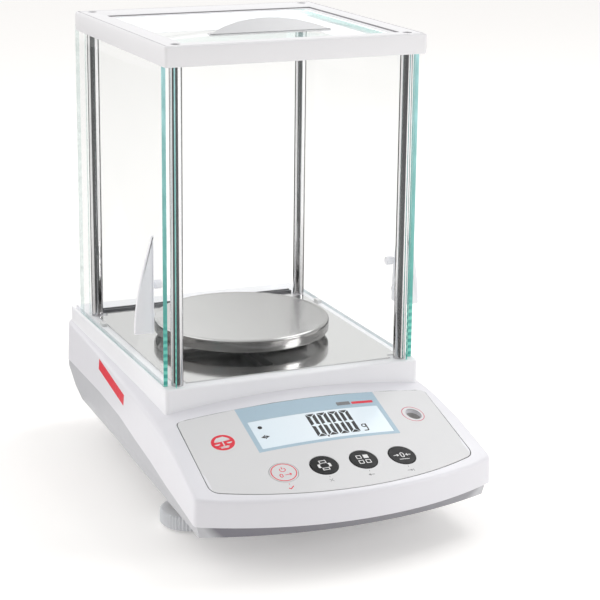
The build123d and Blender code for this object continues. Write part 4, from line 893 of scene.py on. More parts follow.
def seg_shapes(x0, v0, w, h, s, on="abcdef"):
    """Seven-segment figure as outlines, with mitred gaps."""
    g = 0.10
    m = v0 + h / 2
    x1, v1 = x0 + w, v0 + h
    out = []

    def bar_h(vc, low):
        # low: -1 bottom, 0 middle, 1 top
        a, b = x0 + g + 0.25, x1 - g - 0.25
        if low == 1:
            return [(a, v1), (b, v1), (b - s, v1 - s), (a + s, v1 - s)][::-1]
        if low == -1:
            return [(a, v0), (b, v0), (b - s, v0 + s), (a + s, v0 + s)]
        return [(a + 0.2, m), (a + s / 2 + 0.2, m - s / 2), (b - s / 2 - 0.2, m - s / 2), (b - 0.2, m), (b - s / 2 - 0.2, m + s / 2),
                (a + s / 2 + 0.2, m + s / 2)]

    def bar_v(side, upper):
        va, vb = (m + g, v1 - g - 0.25) if upper else (v0 + g + 0.25, m - g)
        inner_a = va + (s / 2 if upper else s)
        inner_b = vb - (s if upper else s / 2)
        if side < 0:
            return [(x0, va), (x0 + s * (0.5 if upper else 1.0) * 0 + s, inner_a), (x0 + s, inner_b), (x0, vb)]
        return [(x1, vb), (x1 - s, inner_b), (x1 - s, inner_a), (x1, va)]
    if "a" in on:
        out.append(bar_h(v1, 1))
    if "d" in on:
        out.append(bar_h(v0, -1))
    if "g" in on:
        out.append(bar_h(m, 0))
    if "f" in on:
        out.append(bar_v(-1, True))
    if "e" in on:
        out.append(bar_v(-1, False))
    if "b" in on:
        out.append(bar_v(1, True))
    if "c" in on:
        out.append(bar_v(1, False))
    return out


def on_panel(u, v, n):
    return P(u, v, n)


def ring_loops(cx, cy, ro, ri, n=72):
    return [circle(cx, cy, ro, n), circle(cx, cy, ri, n)[::-1]]


prints = []
# weight figures 0.000, four figures and a point
x = -6.6
for k in range(4):
    for sh in seg_shapes(x, 32.9, 6.3, 22.6, 2.35):
        prints.append(print2d([sh], on_panel, 0.05, 0.115))
    x += 7.6
prints.append(print2d([rrect(-0.35, 0.75, 31.6, 33.3, 0.25, 3)], on_panel, 0.05, 0.115))
# unit letter g, from strokes
prints.append(print2d(ring_loops(26.9, 38.4, 1.75, 0.95, 32), on_panel, 0.05, 0.115))
prints.append(print2d([[(28.0, 34.3), (28.85, 34.3), (28.85, 40.1), (28.0, 40.1)]], on_panel, 0.05, 0.115))
prints.append(print2d([[(25.4, 33.0), (28.1, 33.0), (28.85, 33.7), (28.85, 34.4), (28.0, 34.4), (27.7, 33.85), (25.4, 33.85)]], on_panel, 0.05, 0.115))
# stability dot, centre-of-zero mark
prints.append(print2d([circle(-38.9, 50.4, 1.45, 28)], on_panel, 0.05, 0.115))
prints.append(print2d([[(-41.6, 40.9), (-39.2, 42.2), (-39.2, 39.6)][::-1]], on_panel, 0.05, 0.115))
prints.append(print2d([[(-35.9, 40.9), (-38.3, 39.6), (-38.3, 42.2)][::-1]], on_panel, 0.05, 0.115))
prints.append(print2d([[(-39.0, 39.0), (-38.5, 39.0), (-38.5, 42.8), (-39.0, 42.8)]], on_panel, 0.05, 0.115))
figures = build("display_figures", *merge_parts(*prints), [M["ink_black"]], merge=1e-8)
finish(figures, "base", (), 30.0)

# prints on the film: ring round the level, marks below the keys, a plain mark at the left
red_prints = [print2d(ring_loops(LEVEL_X - 0.5, LEVEL_V, 7.7, 7.12, 72), on_panel, 0.08, 0.118)]
pale = build("level_ring_print", *merge_parts(*red_prints), [M["ink_pink"]], merge=1e-8)
finish(pale, "base", (), 30.0)


def chevron(cx, cy, w, h, s, up=True):
    d = 1 if up else -1
    return [(cx - w, cy - d * h), (cx, cy + d * h), (cx + w, cy - d * h), (cx + w, cy - d * h - d * s), (cx, cy + d * h - d * s), (cx - w, cy - d * h - d * s)]


grey_prints = []
for k, kx in enumerate(KEY_X):
    cx, cy = kx - 0.8, -9.3
    # a small leader line under each key, then a mark of its second use
    if k == 0:
        continue
    grey_prints.append(print2d([[(cx - 0.15, -5.6), (cx + 0.15, -5.6), (cx + 0.15, -4.4), (cx - 0.15, -4.4)]], on_panel, 0.08, 0.118))
# no: a cross; back: a left arrow; exit: a bar with an arrow
cx = KEY_X[1] - 0.9
for d in (1, -1):
    grey_prints.append(print2d([[(cx - 1.2, -8.3 - d * 1.2 - 0.2), (cx - 1.2, -8.3 - d * 1.2 + 0.2), (cx + 1.2, -8.3 + d * 1.2 + 0.2), (cx + 1.2, -8.3 + d * 1.2 - 0.2)][::-1]],
                               on_panel, 0.08, 0.118 + 0.001 * d))
cx = KEY_X[2] - 0.9
grey_prints.append(print2d([[(cx - 2.2, -8.6), (cx - 0.6, -7.5), (cx - 0.6, -8.35), (cx + 2.0, -8.35), (cx + 2.0, -8.85), (cx - 0.6, -8.85), (cx - 0.6, -9.7)][::-1]], on_panel, 0.08, 0.118))
cx = KEY_X[3] - 0.9
grey_prints.append(print2d([[(cx - 2.0, -8.95), (cx - 2.0, -8.45), (cx + 0.4, -8.45), (cx + 0.4, -7.6), (cx + 1.7, -8.7), (cx + 0.4, -9.8), (cx + 0.4, -8.95)][::-1]], on_panel, 0.08, 0.118))
grey_prints.append(print2d([[(cx + 2.0, -9.8), (cx + 2.4, -9.8), (cx + 2.4, -7.6), (cx + 2.0, -7.6)]], on_panel, 0.08, 0.118))
greys = build("key_mark_prints", *merge_parts(*grey_prints), [M["ink_grey"]], merge=1e-8)
finish(greys, "base", (), 30.0)

# red tick under the first key, and a plain disc with a balance-beam pictogram at the left of the display
cx = KEY_X[0] - 0.7
tick = [(cx - 1.9, -8.5), (cx - 1.4, -8.0), (cx - 0.5, -9.0), (cx + 1.7, -6.9), (cx + 2.1, -7.4), (cx - 0.5, -9.9)][::-1]
LX, LV = -65.6, 43.8
badge = [print2d([tick], on_panel, 0.08, 0.118),
         print2d([[(cx - 0.15, -5.6), (cx + 0.15, -5.6), (cx + 0.15, -4.3), (cx - 0.15, -4.3)]], on_panel, 0.08, 0.118)]
disc = circle(LX, LV, 7.4, 72)
holes = [[(LX - 4.9, LV + 2.35), (LX + 4.9, LV + 2.35), (LX + 4.9, LV + 1.55), (LX - 4.9, LV + 1.55)],
         [(LX - 0.4, LV + 1.0), (LX + 0.4, LV + 1.0), (LX + 0.4, LV - 3.2), (LX - 0.4, LV - 3.2)],
         [(LX - 2.6, LV - 3.75), (LX + 2.6, LV - 3.75), (LX + 2.6, LV - 4.5), (LX - 2.6, LV - 4.5)]]
for sgn in (-1, 1):
    c0 = LX + sgn * 3.9
    a = [(c0 - 1.8, LV - 0.6)] + [(c0 - 1.8 * math.cos(pi * i / 10), LV - 0.6 - 1.3 * math.sin(pi * i / 10)) for i in range(1, 10)] + [(c0 + 1.8, LV - 0.6)]
    holes.append(a[::-1])
badge.append(print2d([disc] + holes, on_panel, 0.08, 0.118))
red = build("film_red_prints", *merge_parts(*badge), [M["ink_red"]], merge=1e-8)
finish(red, "base", (), 30.0)

# two plain bars above the display
bar = build("bezel_dark_bar", *print2d([rrect(18.2, 27.6, 60.6, 63.9, 0.5, 3)], on_panel, 0.16, 0.21), [M["ink_grey"]], merge=1e-8)
finish(bar, "base", (), 30.0)
bar = build("bezel_red_bar", *print2d([rrect(28.6, 43.6, 60.8, 63.2, 0.5, 3)], on_panel, 0.16, 0.21), [M["ink_red"]], merge=1e-8)
finish(bar, "base", (), 30.0)


def on_wall(u, v, n):
    """Left side wall: u along Y, v height, n outwards."""
    w = 99.6 - 8.0 * (u + 134.5) / 293.56 - ((v - 20.0) * 0.03492 - 0.35)
    return (-w - n, u, v)


# plain red stripe on the left side wall, falling slightly towards the front
ends = [(72.0, 67.8), (12.5, 60.6)]
du, dv = ends[1][0] - ends[0][0], ends[1][1] - ends[0][1]
ln = math.hypot(du, dv)
stripe = []
for k in range(24):
    stripe.append((ends[0][0] + du * k / 23 - dv / ln * -3.8, ends[0][1] + dv * k / 23 + du / ln * -3.8))
for k in range(23, -1, -1):
    stripe.append((ends[0][0] + du * k / 23 - dv / ln * 3.8, ends[0][1] + dv * k / 23 + du / ln * 3.8))
bar = build("side_red_stripe", *print2d([stripe], on_wall, -0.25, 0.05), [M["ink_red"]], merge=1e-8)
finish(bar, "base", (), 30.0)

# ------------------------------------------------------------------ keys
key_names = ("key_power_zero", "key_print", "key_function", "key_tare")
key_bodies = ("power_key", "print_key", "function_key", "tare_key")


def key_top(r):
    return 0.42 - 0.16 * (r / 7.9) ** 2


def key_piece(kx, node, body, mat):
    o, ex, ey, ez = key_frame(kx)
    prof = [(0.0001, -4.6), (2.4, -4.6), (2.4, -3.85), (10.2, -3.85), (10.2, -2.95), (8.9, -2.95), (8.9, -0.15)]
    prof += [(8.9 - 0.75 * (1 - math.cos(math.radians(a))), -0.15 + 0.40 * math.sin(math.radians(a))) for a in (22, 45, 68, 90)]
    prof += [(r, key_top(r)) for r in (7.9, 7.2, 6.0, 4.5, 3.0, 1.5, 0.0001)]
    return build(body + "_cap", *lathe(prof, 112, o, ex, ey, ez), [mat])


for kx, node, body in zip(KEY_X, key_names, key_bodies):
    ob = key_piece(kx, node, body, M["key_white"] if body == "power_key" else M["key"])
    finish(ob, body, (node,), 30.0)


def on_key(kx):
    o, ex, ey, ez = key_frame(kx)

    def f(u, v, n):
        p = o + ex * u + ey * v + ez * (key_top(math.hypot(u, v)) + n)
        return (p.x, p.y, p.z)
    return f


def stroke(pts, w):
    """Outline of a polyline drawn with width w."""
    left, right = [], []
    for i, (px, py) in enumerate(pts):
        a = Vector(pts[max(i - 1, 0)])
        b = Vector(pts[min(i + 1, len(pts) - 1)])
        d = (b - a).normalized()
        left.append((px - d.y * w / 2, py + d.x * w / 2))
        right.append((px + d.y * w / 2, py - d.x * w / 2))
    return left[::-1] + right if False else right + left[::-1]


# power key: red ring, ring-and-bar symbol, and a zero
f = on_key(KEY_X[0])
parts = [print2d(ring_loops(0, 0, 8.05, 7.45, 96), f, -0.03, 0.03)]
arc = stroke(arc_pts(0, 2.3, 1.75, 130, 410, 26), 0.5)
parts.append(print2d([arc], f, -0.03, 0.03))
parts.append(print2d([[(-0.25, 2.7), (0.25, 2.7), (0.25, 4.9), (-0.25, 4.9)]], f, -0.03, 0.03))
parts.append(print2d([rrect(-3.6, -1.4, -4.3, -1.1, 1.05, 6), [(u, v) for u, v in rrect(-3.1, -1.9, -3.8, -1.6, 0.58, 6)][::-1]], f, -0.03, 0.03))
parts.append(print2d([[(0.0, -2.95), (3.6, -2.95), (3.6, -2.45), (0.0, -2.45)]], f, -0.03, 0.03))
parts.append(print2d([[(3.0, -4.1), (4.3, -2.7), (3.0, -1.3)][::1]], f, -0.03, 0.03))
ob = build("power_key_print", *merge_parts(*parts), [M["ink_red"]], merge=1e-8)
finish(ob, "power_key", (), 30.0)

# print key: a sheet coming out of a printer
f = on_key(KEY_X[1])
parts = [print2d([[(-2.3, 1.5), (2.3, 1.5), (2.3, 4.4), (-2.3, 4.4)], [(-1.7, 2.0), (-1.7, 3.8), (1.7, 3.8), (1.7, 2.0)]], f, -0.03, 0.03),
         print2d([rrect(-4.3, 4.3, -2.3, 1.1, 0.6, 3)], f, -0.03, 0.03),
         print2d([[(-2.3, -4.9), (2.3, -4.9), (2.3, -2.7), (-2.3, -2.7)], [(-1.7, -4.4), (-1.7, -3.2), (1.7, -3.2), (1.7, -4.4)]], f, -0.03, 0.03)]
ob = build("print_key_print", *merge_parts(*parts), [M["ink_white"]], merge=1e-8)
finish(ob, "print_key", (), 30.0)

# function key: four tiles
f = on_key(KEY_X[2])
parts = []
for sx in (-1, 1):
    for sy in (-1, 1):
        cx, cy = sx * 2.35, sy * 2.35
        loops = [rrect(cx - 1.7, cx + 1.7, cy - 1.7, cy + 1.7, 0.35, 3)]
        if (sx, sy) != (1, 1):
            loops.append(rrect(cx - 1.15, cx + 1.15, cy - 1.15, cy + 1.15, 0.2, 3)[::-1])
        parts.append(print2d(loops, f, -0.03, 0.03))
ob = build("function_key_print", *merge_parts(*parts), [M["ink_white"]], merge=1e-8)
finish(ob, "function_key", (), 30.0)

# tare key: two arrows closing on a zero
f = on_key(KEY_X[3])
parts = [print2d([rrect(-1.35, 1.35, -2.3, 2.3, 1.3, 8), rrect(-0.75, 0.75, -1.7, 1.7, 0.72, 8)[::-1]], f, -0.03, 0.03)]
for sgn in (-1, 1):
    a = [(sgn * 5.8, 0.28), (sgn * 3.6, 0.28), (sgn * 3.6, 1.3), (sgn * 2.1, 0.0), (sgn * 3.6, -1.3), (sgn * 3.6, -0.28), (sgn * 5.8, -0.28)]
    parts.append(print2d([a if sgn < 0 else a[::-1]], f, -0.03, 0.03))
parts.append(print2d([[(-3.4, -4.2), (3.4, -4.2), (3.4, -3.7), (-3.4, -3.7)]], f, -0.03, 0.03))
ob = build("tare_key_print", *merge_parts(*parts), [M["ink_white"]], merge=1e-8)
finish(ob, "tare_key", (), 30.0)

# ------------------------------------------------------------------ top frame
prof = [(87.2, -54.3, 129.8, 290.2, 1.6), (87.65, -54.75, 130.25, 290.35, 1.9), (87.8, -54.9, 130.4, 290.8, 2.2),
        (87.8, -54.9, 130.4, 301.7, 2.2), (87.65, -54.75, 130.25, 302.4, 2.1), (87.3, -54.4, 129.9, 302.85, 1.9), (86.7, -53.8, 129.3, 303.0, 1.6),
        (86.2, -53.3, 128.8, 303.0, 1.5), (86.1, -53.2, 128.7, 302.55, 1.5), (85.6, -52.7, 128.2, 302.55, 1.4), (85.5, -52.6, 128.1, 303.0, 1.4),
        (74.6, -42.5, 99.6, 303.0, 1.0), (74.4, -42.3, 99.4, 302.9, 1.0), (74.3, -42.2, 99.3, 301.9, 1.0), (73.9, -41.8, 98.9, 301.85, 0.9), (73.5, -41.4, 98.5, 302.2, 0.9),
        (70.5, -38.4, 95.5, 302.2, 0.6), (70.1, -38.0, 95.1, 302.05, 0.5), (70.0, -37.9, 95.0, 301.6, 0.5), (70.0, -37.9, 95.0, 298.35, 0.5),
        (66.0, -37.8, 94.9, 298.35, 0.4), (66.0, -37.8, 94.9, 290.6, 0.4), (66.4, -38.2, 95.3, 290.2, 0.6)]
rings = [[(u, v, z) for u, v in rrect(-hx, hx, y0, y1, r, 6)] for hx, y0, y1, z, r in prof]
tframe = build("top_frame_moulding", *loft(rings, closed_v=True), [M["frame"]])
# painted light: the slot faces and the frame's inner walls take the glowing slot material, where shade falls in the
# chamber
cut_parts = [box_part(-70.0, 70.0, 90.0, 145.0, 298.3, 301.58), box_part(-70.0, 70.0, -41.1, -30.0, 298.3, 301.58)]
tframe = boolean(tframe, build("cut_frame", *cut_parts[0], [M["slot"]]), keep_cutter_material=True)
tframe = boolean(tframe, build("cut_frame1", *cut_parts[1], [M["slot"]]), keep_cutter_material=True)
if M["slot"].name not in [m.name for m in tframe.data.materials if m]:
    tframe.data.materials.append(M["slot"])
slot_glow_index = [m.name if m else "" for m in tframe.data.materials].index(M["slot"].name)
for poly in tframe.data.polygons:
    c = poly.center
    if abs(c.x) < 0.0755 and -0.0435 < c.y < 0.1005 and c.z < 0.3018 and abs(poly.normal.z) < 0.6:
        poly.material_index = slot_glow_index
# painted shade: the outer groove and inner step faces of the frame's top take the grey and darker grey shade materials
for gm in ("groove", "groove_dark"):
    tframe.data.materials.append(M[gm])
n_mats = len(tframe.data.materials)
for poly in tframe.data.polygons:
    c = poly.center
    inner = abs(c.x) < 0.0748 and -0.0427 < c.y < 0.0998
    if not inner and 0.30252 < c.z < 0.30292 and (abs(c.x) > 0.0851 or c.y > 0.1277 or c.y < -0.0522) and (abs(c.x) < 0.0864 and -0.0535 < c.y < 0.1290):
        poly.material_index = n_mats - 2
    elif inner and 0.30183 < c.z < 0.30292 and abs(c.x) < 0.0748 and (abs(c.x) > 0.0733 or c.y > 0.0983 or c.y < -0.0412):
        poly.material_index = n_mats - 1
cut_parts = []
for sgn in (-1, 1):
    xa, xb = sorted((sgn * 83.85, sgn * 87.15))
    cut_parts.append(box_part(xa, xb, -46.1, 140.0, 285.0, 294.1))
for sx in (-1, 1):
    for py in POST_Y:
        cut_parts.append(cyl_part(sx * POST_X, py, 3.1, 300.4, 306.0, 48))
tframe = boolean(tframe, build("cut_frame2", *merge_parts(*cut_parts), [M["frame"]]))
finish(tframe, "base", ("top_frame",), 32.0)


# ------------------------------------------------------------------ panes
def pane(name, node, body, axis, a, b, c, mats, strong, r=0.35, corner=0.8):
    """Pane with ground, slightly rounded edges. axis is its thickness direction with span a; b and c are its other spans."""
    t0, t1 = a
    t = t1 - t0
    out = rrect(b[0], b[1], c[0], c[1], corner, 4)
    prof = edge_profile(t, r, 3)
    rings = []
    for inset, d in prof:
        rg = offset_ring(out, inset)
        if axis == "x":
            rings.append([(t0 + d, u, v) for u, v in rg])
        elif axis == "y":
            rings.append([(u, t0 + d, v) for u, v in rg])
        else:
            rings.append([(u, v, t0 + d) for u, v in rg])
    v, f = loft(rings)
    fm = [1] * (len(f) - 2) + [0, 0]
    me = bpy.data.meshes.new(name)
    me.from_pydata([(p[0] * S, p[1] * S, p[2] * S) for p in v], [], f)
    for m in mats:
        me.materials.append(m)
    me.polygons.foreach_set("material_index", fm)
    bm = bmesh.new()
    bm.from_mesh(me)
    bmesh.ops.recalc_face_normals(bm, faces=bm.faces)
    for fc in bm.faces:
        if fc.material_index == 1 and not any(fc.normal.dot(Vector(d)) > 0.5 for d in strong):
            fc.material_index = 2
    bm.to_mesh(me)
    bm.free()
    ob = bpy.data.objects.new(name, me)
    bpy.context.scene.collection.objects.link(ob)
    return finish(ob, body, (node,), 20.0)


GE = [M["glass"], M["edge"], M["pale"]]
SIDES, FRONT = ((1, 0, 0), (-1, 0, 0)), ((0, -1, 0),)
pane("front_pane", "front_glass", "base", "y", (-52.3, -50.3), (-80.7, 80.7), (84.7, 293.7), GE, SIDES)
pane("rear_pane", "rear_glass", "base", "y", (126.1, 128.1), (-81.7, 81.7), (84.7, 293.7), GE, ())
pane("left_door_pane", "left_door_glass", "left_door", "x", (-86.9, -84.1), (-45.7, 133.0), (85.4, 293.8), GE, FRONT)
pane("right_door_pane", "right_door_glass", "right_door", "x", (84.1, 86.9), (-45.7, 133.0), (85.4, 293.8), GE, FRONT)
pane("top_door_pane", "top_door_glass", "top_door", "z", (298.5, 301.2), (-69.6, 69.6), (-40.7, 126.0), [M["glass"], M["pale_top"], M["pale_top"]], ())

# ------------------------------------------------------------------ door handles, knobs, grip
for sgn, tag in ((-1, "left"), (1, "right")):
    body = tag + "_door"
    X0 = 86.9
    curve = [(13.0, 118.6), (12.95, 124.0), (12.4, 131.0), (11.5, 138.5), (10.4, 145.5), (8.9, 152.8), (7.1, 160.2), (5.2, 167.0), (3.1, 174.0), (0.9, 181.2)]
    dense = []
    for (a0, b0), (a1, b1) in zip(curve[:-1], curve[1:]):
        for k in range(3):
            dense.append((a0 + (a1 - a0) * k / 3, b0 + (b1 - b0) * k / 3))
    dense.append(curve[-1])
    # smooth the polyline a little
    for _ in range(4):
        dense = [dense[0]] + [((p[0] + 2 * q[0] + r[0]) / 4, (p[1] + 2 * q[1] + r[1]) / 4) for p, q, r in zip(dense[:-2], dense[1:-1], dense[2:])] + [dense[-1]]
    outline = [(0.0, 118.0), (6.0, 118.0), (12.4, 118.0)] + dense + [(0.0, 181.5), (0.0, 160.0), (0.0, 140.0)]

    def place_fin(u, v, d, sgn=sgn):
        return (sgn * (X0 + max(u, 0.0)), -29.0 + d, v)
    fin = plate(outline, 2.6, 0.9, place_fin, 4)
    foot = [(-29.0, 118.0), (-14.6, 118.0), (-14.0, 118.6), (-14.2, 126.0), (-14.6, 134.0), (-15.6, 143.0), (-17.0, 152.0), (-19.9, 162.5), (-23.5, 172.0),
            (-26.0, 177.0), (-28.0, 180.6), (-29.0, 181.0)]

    def place_foot(u, v, d, sgn=sgn):
        return (sgn * (X0 + d), u, v)
    ft = plate(foot, 1.8, 0.5, place_foot, 3)
    peg = lathe([(0.0001, 0.0), (1.9, 0.0), (1.9, 2.7), (0.0001, 2.7)], 32, (sgn * 84.3, -20.5, 127.5), (0, 1, 0), (0, 0, 1), (sgn, 0, 0))
    ob = build(tag + "_handle_fin", *merge_parts(fin, ft, peg), [M["handle"]])
    finish(ob, body, (tag + "_door_handle",), 40.0)

    def knurl(a, r, z):
        return r - (0.16 * (0.5 + 0.5 * math.cos(a * 22)) if 2.7 < r < 2.95 and 0.3 < z < 4.4 else 0.0)
    kp = [(0.0001, 0.15), (1.3, 0.12), (2.2, 0.0), (2.6, 0.12), (2.85, 0.45), (2.85, 1.5), (2.85, 3.0), (2.85, 4.3), (2.6, 4.7), (1.9, 4.8), (1.9, 7.4), (0.0001, 7.4)]
    kb = lathe(kp, 132, (sgn * 79.1, -20.5, 147.5), (0, 1, 0), (0, 0, 1), (sgn, 0, 0), knurl)
    ob = build(tag + "_handle_knob", *kb, [M["handle"]])
    finish(ob, body, (tag + "_door_knob",), 30.0)

# crescent grip, leaning back from a straight foot
lean = math.radians(54.0)
gx, gz = math.sin(lean), math.cos(lean)        # up the grip: back and up
pts = arc_pts(0, 0, 1, 0, 180, 1)
h = 13.4
R = (42.0 ** 2 + h * h) / (2 * h)
am = math.asin(42.0 / R)
crest = [(R * math.sin(am - 2 * am * i / 64), (h - R) + R * math.cos(am - 2 * am * i / 64)) for i in range(65)]
outline = [(41.6, -2.5)] + [(u * 0.9955, max(v, 0.0) - 2.0) for u, v in crest] + [(-41.6, -2.5)]


def place_grip(u, v, d):
    # d runs down into the plate's back
    t = 2.4 - d * 2.4 / 2.2
    return (u, -6.0 + v * gx - t * gz, 301.2 + v * gz + t * gx + 0.55)


raw = plate(outline, 2.2, 0.7, place_grip, 4)
raw = ([(a, b, min(max(c, 301.2), 310.42)) for a, b, c in raw[0]], raw[1])
foot_rings = []
for inset, z in ((0.0, 301.2), (0.0, 301.9), (0.15, 302.2), (0.5, 302.4)):
    foot_rings.append([(u, v, z) for u, v in rrect(-40 + inset, 40 - inset, -6.6 + inset, 1.4 - inset, 2.0, 6)])
ob = build("top_grip_crescent", *merge_parts(raw, loft(foot_rings)), [M["grip"]])
finish(ob, "top_door", ("top_door_grip",), 40.0)

# ------------------------------------------------------------------ pan
prof = [(0.0001, 100.5), (20.0, 100.5), (40.0, 100.5), (56.6, 100.5), (57.9, 100.1), (58.6, 99.3), (58.7, 98.0), (58.75, 93.7), (58.9, 93.42), (59.2, 93.3),
        (59.6, 93.34), (59.85, 93.55), (59.95, 93.9), (60.0, 95.0), (60.0, 99.2)]
for a in (15, 30, 45, 60, 75, 90):
    prof.append((57.9 + 2.1 * math.cos(math.radians(a)), 99.55 + 2.2 * math.sin(math.radians(a))))
prof += [(57.2, 101.77), (56.6, 101.68), (55.8, 101.62), (54.0, 101.6), (45.0, 101.6), (30.0, 101.6), (12.0, 101.6), (0.0001, 101.6)]
pan = build("pan_disc", *lathe([(r, z) for r, z in prof], 192, (0, PAN_Y, 0)), [M["pan"], M["skirt"]])
for poly in pan.data.polygons:
    if poly.center.z < 0.1004 and abs(poly.normal.z) < 0.9:
        poly.material_index = 1
finish(pan, "pan", ("weighing_pan",), 50.0)

# ------------------------------------------------------------------ levelling feet
for sgn, tag in ((-1, "left"), (1, "right")):
    c = (sgn * 76.0, -62.0, 0)

    def ribs(a, r, z):
        if r > 17.9 and 2.4 < z < 11.2:
            w = math.cos(a * 50)
            return r - 1.15 * (0.5 - 0.5 * w) ** 0.9
        if r > 17.0:
            return r - 0.2 * (0.5 - 0.5 * math.cos(a * 50))
        return r
    prof = [(2.06, 8.0), (2.06, 2.3), (2.4, 2.0), (6.0, 2.0), (12.0, 2.0), (17.4, 2.0), (18.2, 2.25), (18.75, 2.8), (18.98, 3.6), (18.98, 6.5),
            (18.98, 9.9), (18.85, 10.7), (18.4, 11.15), (17.7, 11.35), (16.0, 11.4), (11.0, 11.4), (10.6, 11.3), (10.2, 11.25), (9.6, 11.25), (9.2, 11.3),
            (8.8, 11.4), (5.6, 11.4), (5.5, 13.6), (5.2, 13.8), (3.0, 13.8), (3.0, 37.4), (2.5, 38.0), (0.0001, 38.0)]
    prof = [(0.0001, 8.0)] + prof
    ob = build(tag + "_level_wheel", *lathe(prof, 400, c, radial=ribs), [M["wheel"]])
    finish(ob, tag + "_wheel", (tag + "_foot_wheel",), 40.0)
    prof = [(0.0001, 0.0), (9.9, 0.0), (10.6, 0.2), (11.0, 0.7), (11.0, 1.2), (10.7, 1.75), (10.2, 1.9), (2.0, 1.9), (2.0, 7.5), (1.6, 7.9), (0.0001, 7.9)]
    ob = build(tag + "_level_pad", *lathe(prof, 72, c), [M["rubber"]])
    finish(ob, tag + "_foot", (tag + "_foot_pad",), 40.0)

# ------------------------------------------------------------------ materials of the CAD nodes that stay
keep = {
    "lower_housing": "lower", "weigh_below_cover": "lower", "housing_screws": "screw", "lcd_module": "black", "display_board": "board",
    "key_switches": "black", "level_cup": "cup", "level_vial": "vial", "level_bubble": "bubble", "main_board": "board",
    "rs232_port": "connector", "power_jack": "black", "lock_slot": "screw", "cell_mount_plate": "alu", "cell_frame": "alu",
    "upper_guide": "alu", "lower_guide": "alu", "load_receiver": "alu", "weigh_below_hook": "screw", "weigh_lever": "alu",
    "voice_coil": "coil", "magnet_pot": "iron", "position_sensor": "black", "pan_support": "black", "floor_plate": "plate",
    "draft_ring": "plate", "draft_posts": "chrome", "top_frame_screws": "screw_dark", "rear_glass_seal": "seal", "door_guides": "guide",
    "foot_inserts": "brass", "rear_foot_pads": "rubber", "cover_pivot_screw": "screw",
}
for n, key in keep.items():
    ob = nodes[n]
    ob.data.materials.clear()
    ob.data.materials.append(M[key])

# ------------------------------------------------------------------ stage, light, camera
def flat_obj(name, verts, faces, mat):
    me = bpy.data.meshes.new(name)
    me.from_pydata(verts, [], faces)
    me.materials.append(mat)
    ob = bpy.data.objects.new(name, me)
    bpy.context.scene.collection.objects.link(ob)
    return ob


m, nt, out = new_mat("floor_pale")
b = principled(nt, out)
L(nt, mixcol(nt, noise(nt, coords(nt), 3.0, 4.0), (0.93, 0.918, 0.905), (0.94, 0.93, 0.917)), b.inputs["Base Color"])
b.inputs["Roughness"].default_value = 0.9
b.inputs["Specular IOR Level"].default_value = 0.1
b.inputs["Emission Color"].default_value = (1.0, 0.985, 0.97, 1.0)
b.inputs["Emission Strength"].default_value = 0.19
floor = flat_obj("floor", [(-30, -30, 0), (30, -30, 0), (30, 30, 0), (-30, 30, 0)], [(0, 1, 2, 3)], m)


def dark_mat(name, val):
    m, nt, out = new_mat(name)
    b = principled(nt, out)
    L(nt, mixcol(nt, noise(nt, coords(nt), 5.0), (val, val, val), (val * 1.1, val * 1.1, val * 1.1)), b.inputs["Base Color"])
    b.inputs["Roughness"].default_value = 1.0
    b.inputs["Specular IOR Level"].default_value = 0.0
    return m


def sector(name, a0, a1, r0, r1, val, diffuse=False):
    """Dark floor card seen only in mirror reflections, between two bearings (degrees, 0 = towards -Y, 90 = +X)."""
    vs, fs = [], []
    n = 24
    for i in range(n + 1):
        a = math.radians(a0 + (a1 - a0) * i / n)
        for r in (r0, r1):
            vs.append((r * math.sin(a), -r * math.cos(a), 0.0006))
    for i in range(n):
        fs.append((2 * i, 2 * i + 1, 2 * i + 3, 2 * i + 2))
    ob = flat_obj(name, vs, fs, dark_mat(name + "_mat", val))
    ob.visible_camera = False
    ob.visible_diffuse = diffuse
    ob.visible_shadow = False
    ob.visible_transmission = False
    ob.visible_volume_scatter = False
    return ob


sector("card_front", -84, 18, 0.25, 4.0, 0.12)
sector("card_rear", 157.6 - 62, 157.6 + 62, 0.20, 4.0, 0.12)

world = bpy.data.worlds.new("studio")
bpy.context.scene.world = world
world.use_nodes = True
wn = world.node_tree
wn.nodes.clear()
wo = wn.nodes.new("ShaderNodeOutputWorld")
bg = wn.nodes.new("ShaderNodeBackground")
tc = wn.nodes.new("ShaderNodeTexCoord")
sep = wn.nodes.new("ShaderNodeSeparateXYZ")
wn.links.new(tc.outputs["Generated"], sep.inputs[0])


def wmath(op, a, b):
    n = wn.nodes.new("ShaderNodeMath")
    n.operation = op
    for i, val in enumerate((a, b)):
        if isinstance(val, (int, float)):
            n.inputs[i].default_value = val
        else:
            wn.links.new(val, n.inputs[i])
    return n.outputs[0]


def wrange(src, a, b, lo, hi):
    n = wn.nodes.new("ShaderNodeMapRange")
    n.interpolation_type = "SMOOTHSTEP"
    n.inputs["From Min"].default_value = a
    n.inputs["From Max"].default_value = b
    n.inputs["To Min"].default_value = lo
    n.inputs["To Max"].default_value = hi
    wn.links.new(src, n.inputs["Value"])
    return n.outputs["Result"]


left = wrange(sep.outputs["X"], -1.0, 0.2, 0.42, 0.0)
rear = wrange(sep.outputs["Y"], -0.1, 0.75, 0.0, 0.42)
up = wrange(sep.outputs["Z"], 0.2, 1.0, 0.0, 0.05)
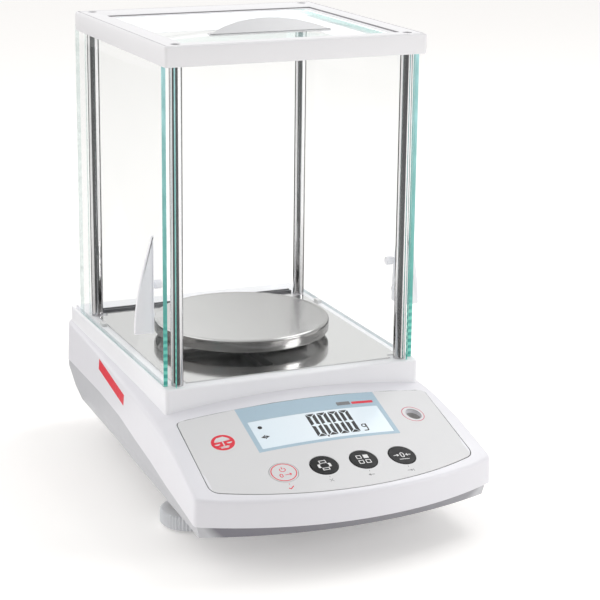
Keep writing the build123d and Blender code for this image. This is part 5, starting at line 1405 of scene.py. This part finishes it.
# dark flag beside the camera, at the left of the front
flag = wrange(wmath("ADD", wmath("MULTIPLY", sep.outputs["X"], -0.46), wmath("MULTIPLY", sep.outputs["Y"], -0.89)), 0.42, 0.98, 0.0, -0.58)
total = wmath("ADD", wmath("ADD", left, rear), wmath("ADD", wmath("ADD", up, flag), 0.60))
wn.links.new(total, bg.inputs["Strength"])
bg.inputs["Color"].default_value = (1.0, 0.995, 0.99, 1.0)
wn.links.new(bg.outputs[0], wo.inputs["Surface"])


def area(name, loc, target, size, power, colour=(1, 1, 1)):
    ld = bpy.data.lights.new(name, "AREA")
    ld.energy = power
    ld.size = size
    ld.color = colour
    ob = bpy.data.objects.new(name, ld)
    bpy.context.scene.collection.objects.link(ob)
    ob.location = loc
    ob.rotation_mode = "QUATERNION"
    ob.rotation_quaternion = (Vector(target) - Vector(loc)).to_track_quat("-Z", "Y")
    return ob


area("key_left", (-1.4, 0.0, 1.5), (0, 0, 0.1), 1.0, 1.5, (1.0, 0.985, 0.97))
area("top_soft", (1.0, 0.4, 1.5), (0, 0, 0.1), 0.8, 7.5)
area("fill_right_front", (1.35, -1.15, 0.75), (0, -0.05, 0.08), 0.7, 7.5)

cam_data = bpy.data.cameras.new("camera")
cam = bpy.data.objects.new("camera", cam_data)
bpy.context.scene.collection.objects.link(cam)
bpy.context.scene.camera = cam
cam_data.sensor_width = 36.0
cam_data.lens = 109.69
cam_data.shift_x = 0.0681
cam_data.shift_y = -0.0709
cam_data.clip_start, cam_data.clip_end = 0.05, 100.0
az, el, roll = math.radians(-22.385), math.radians(14.638), math.radians(0.328)
back = Vector((math.sin(az) * math.cos(el), -math.cos(az) * math.cos(el), math.sin(el)))
cam.location = Vector((0, 0.009, 0.150)) + back * 1.2138
cam.rotation_mode = "QUATERNION"
q = (-back).to_track_quat("-Z", "Y")
cam.rotation_quaternion = q @ Matrix.Rotation(roll, 4, "Z").to_quaternion()

vs = bpy.context.scene.view_settings
vs.view_transform = "Standard"
vs.look = "None"
bpy.context.scene.cycles.transparent_max_bounces = 24
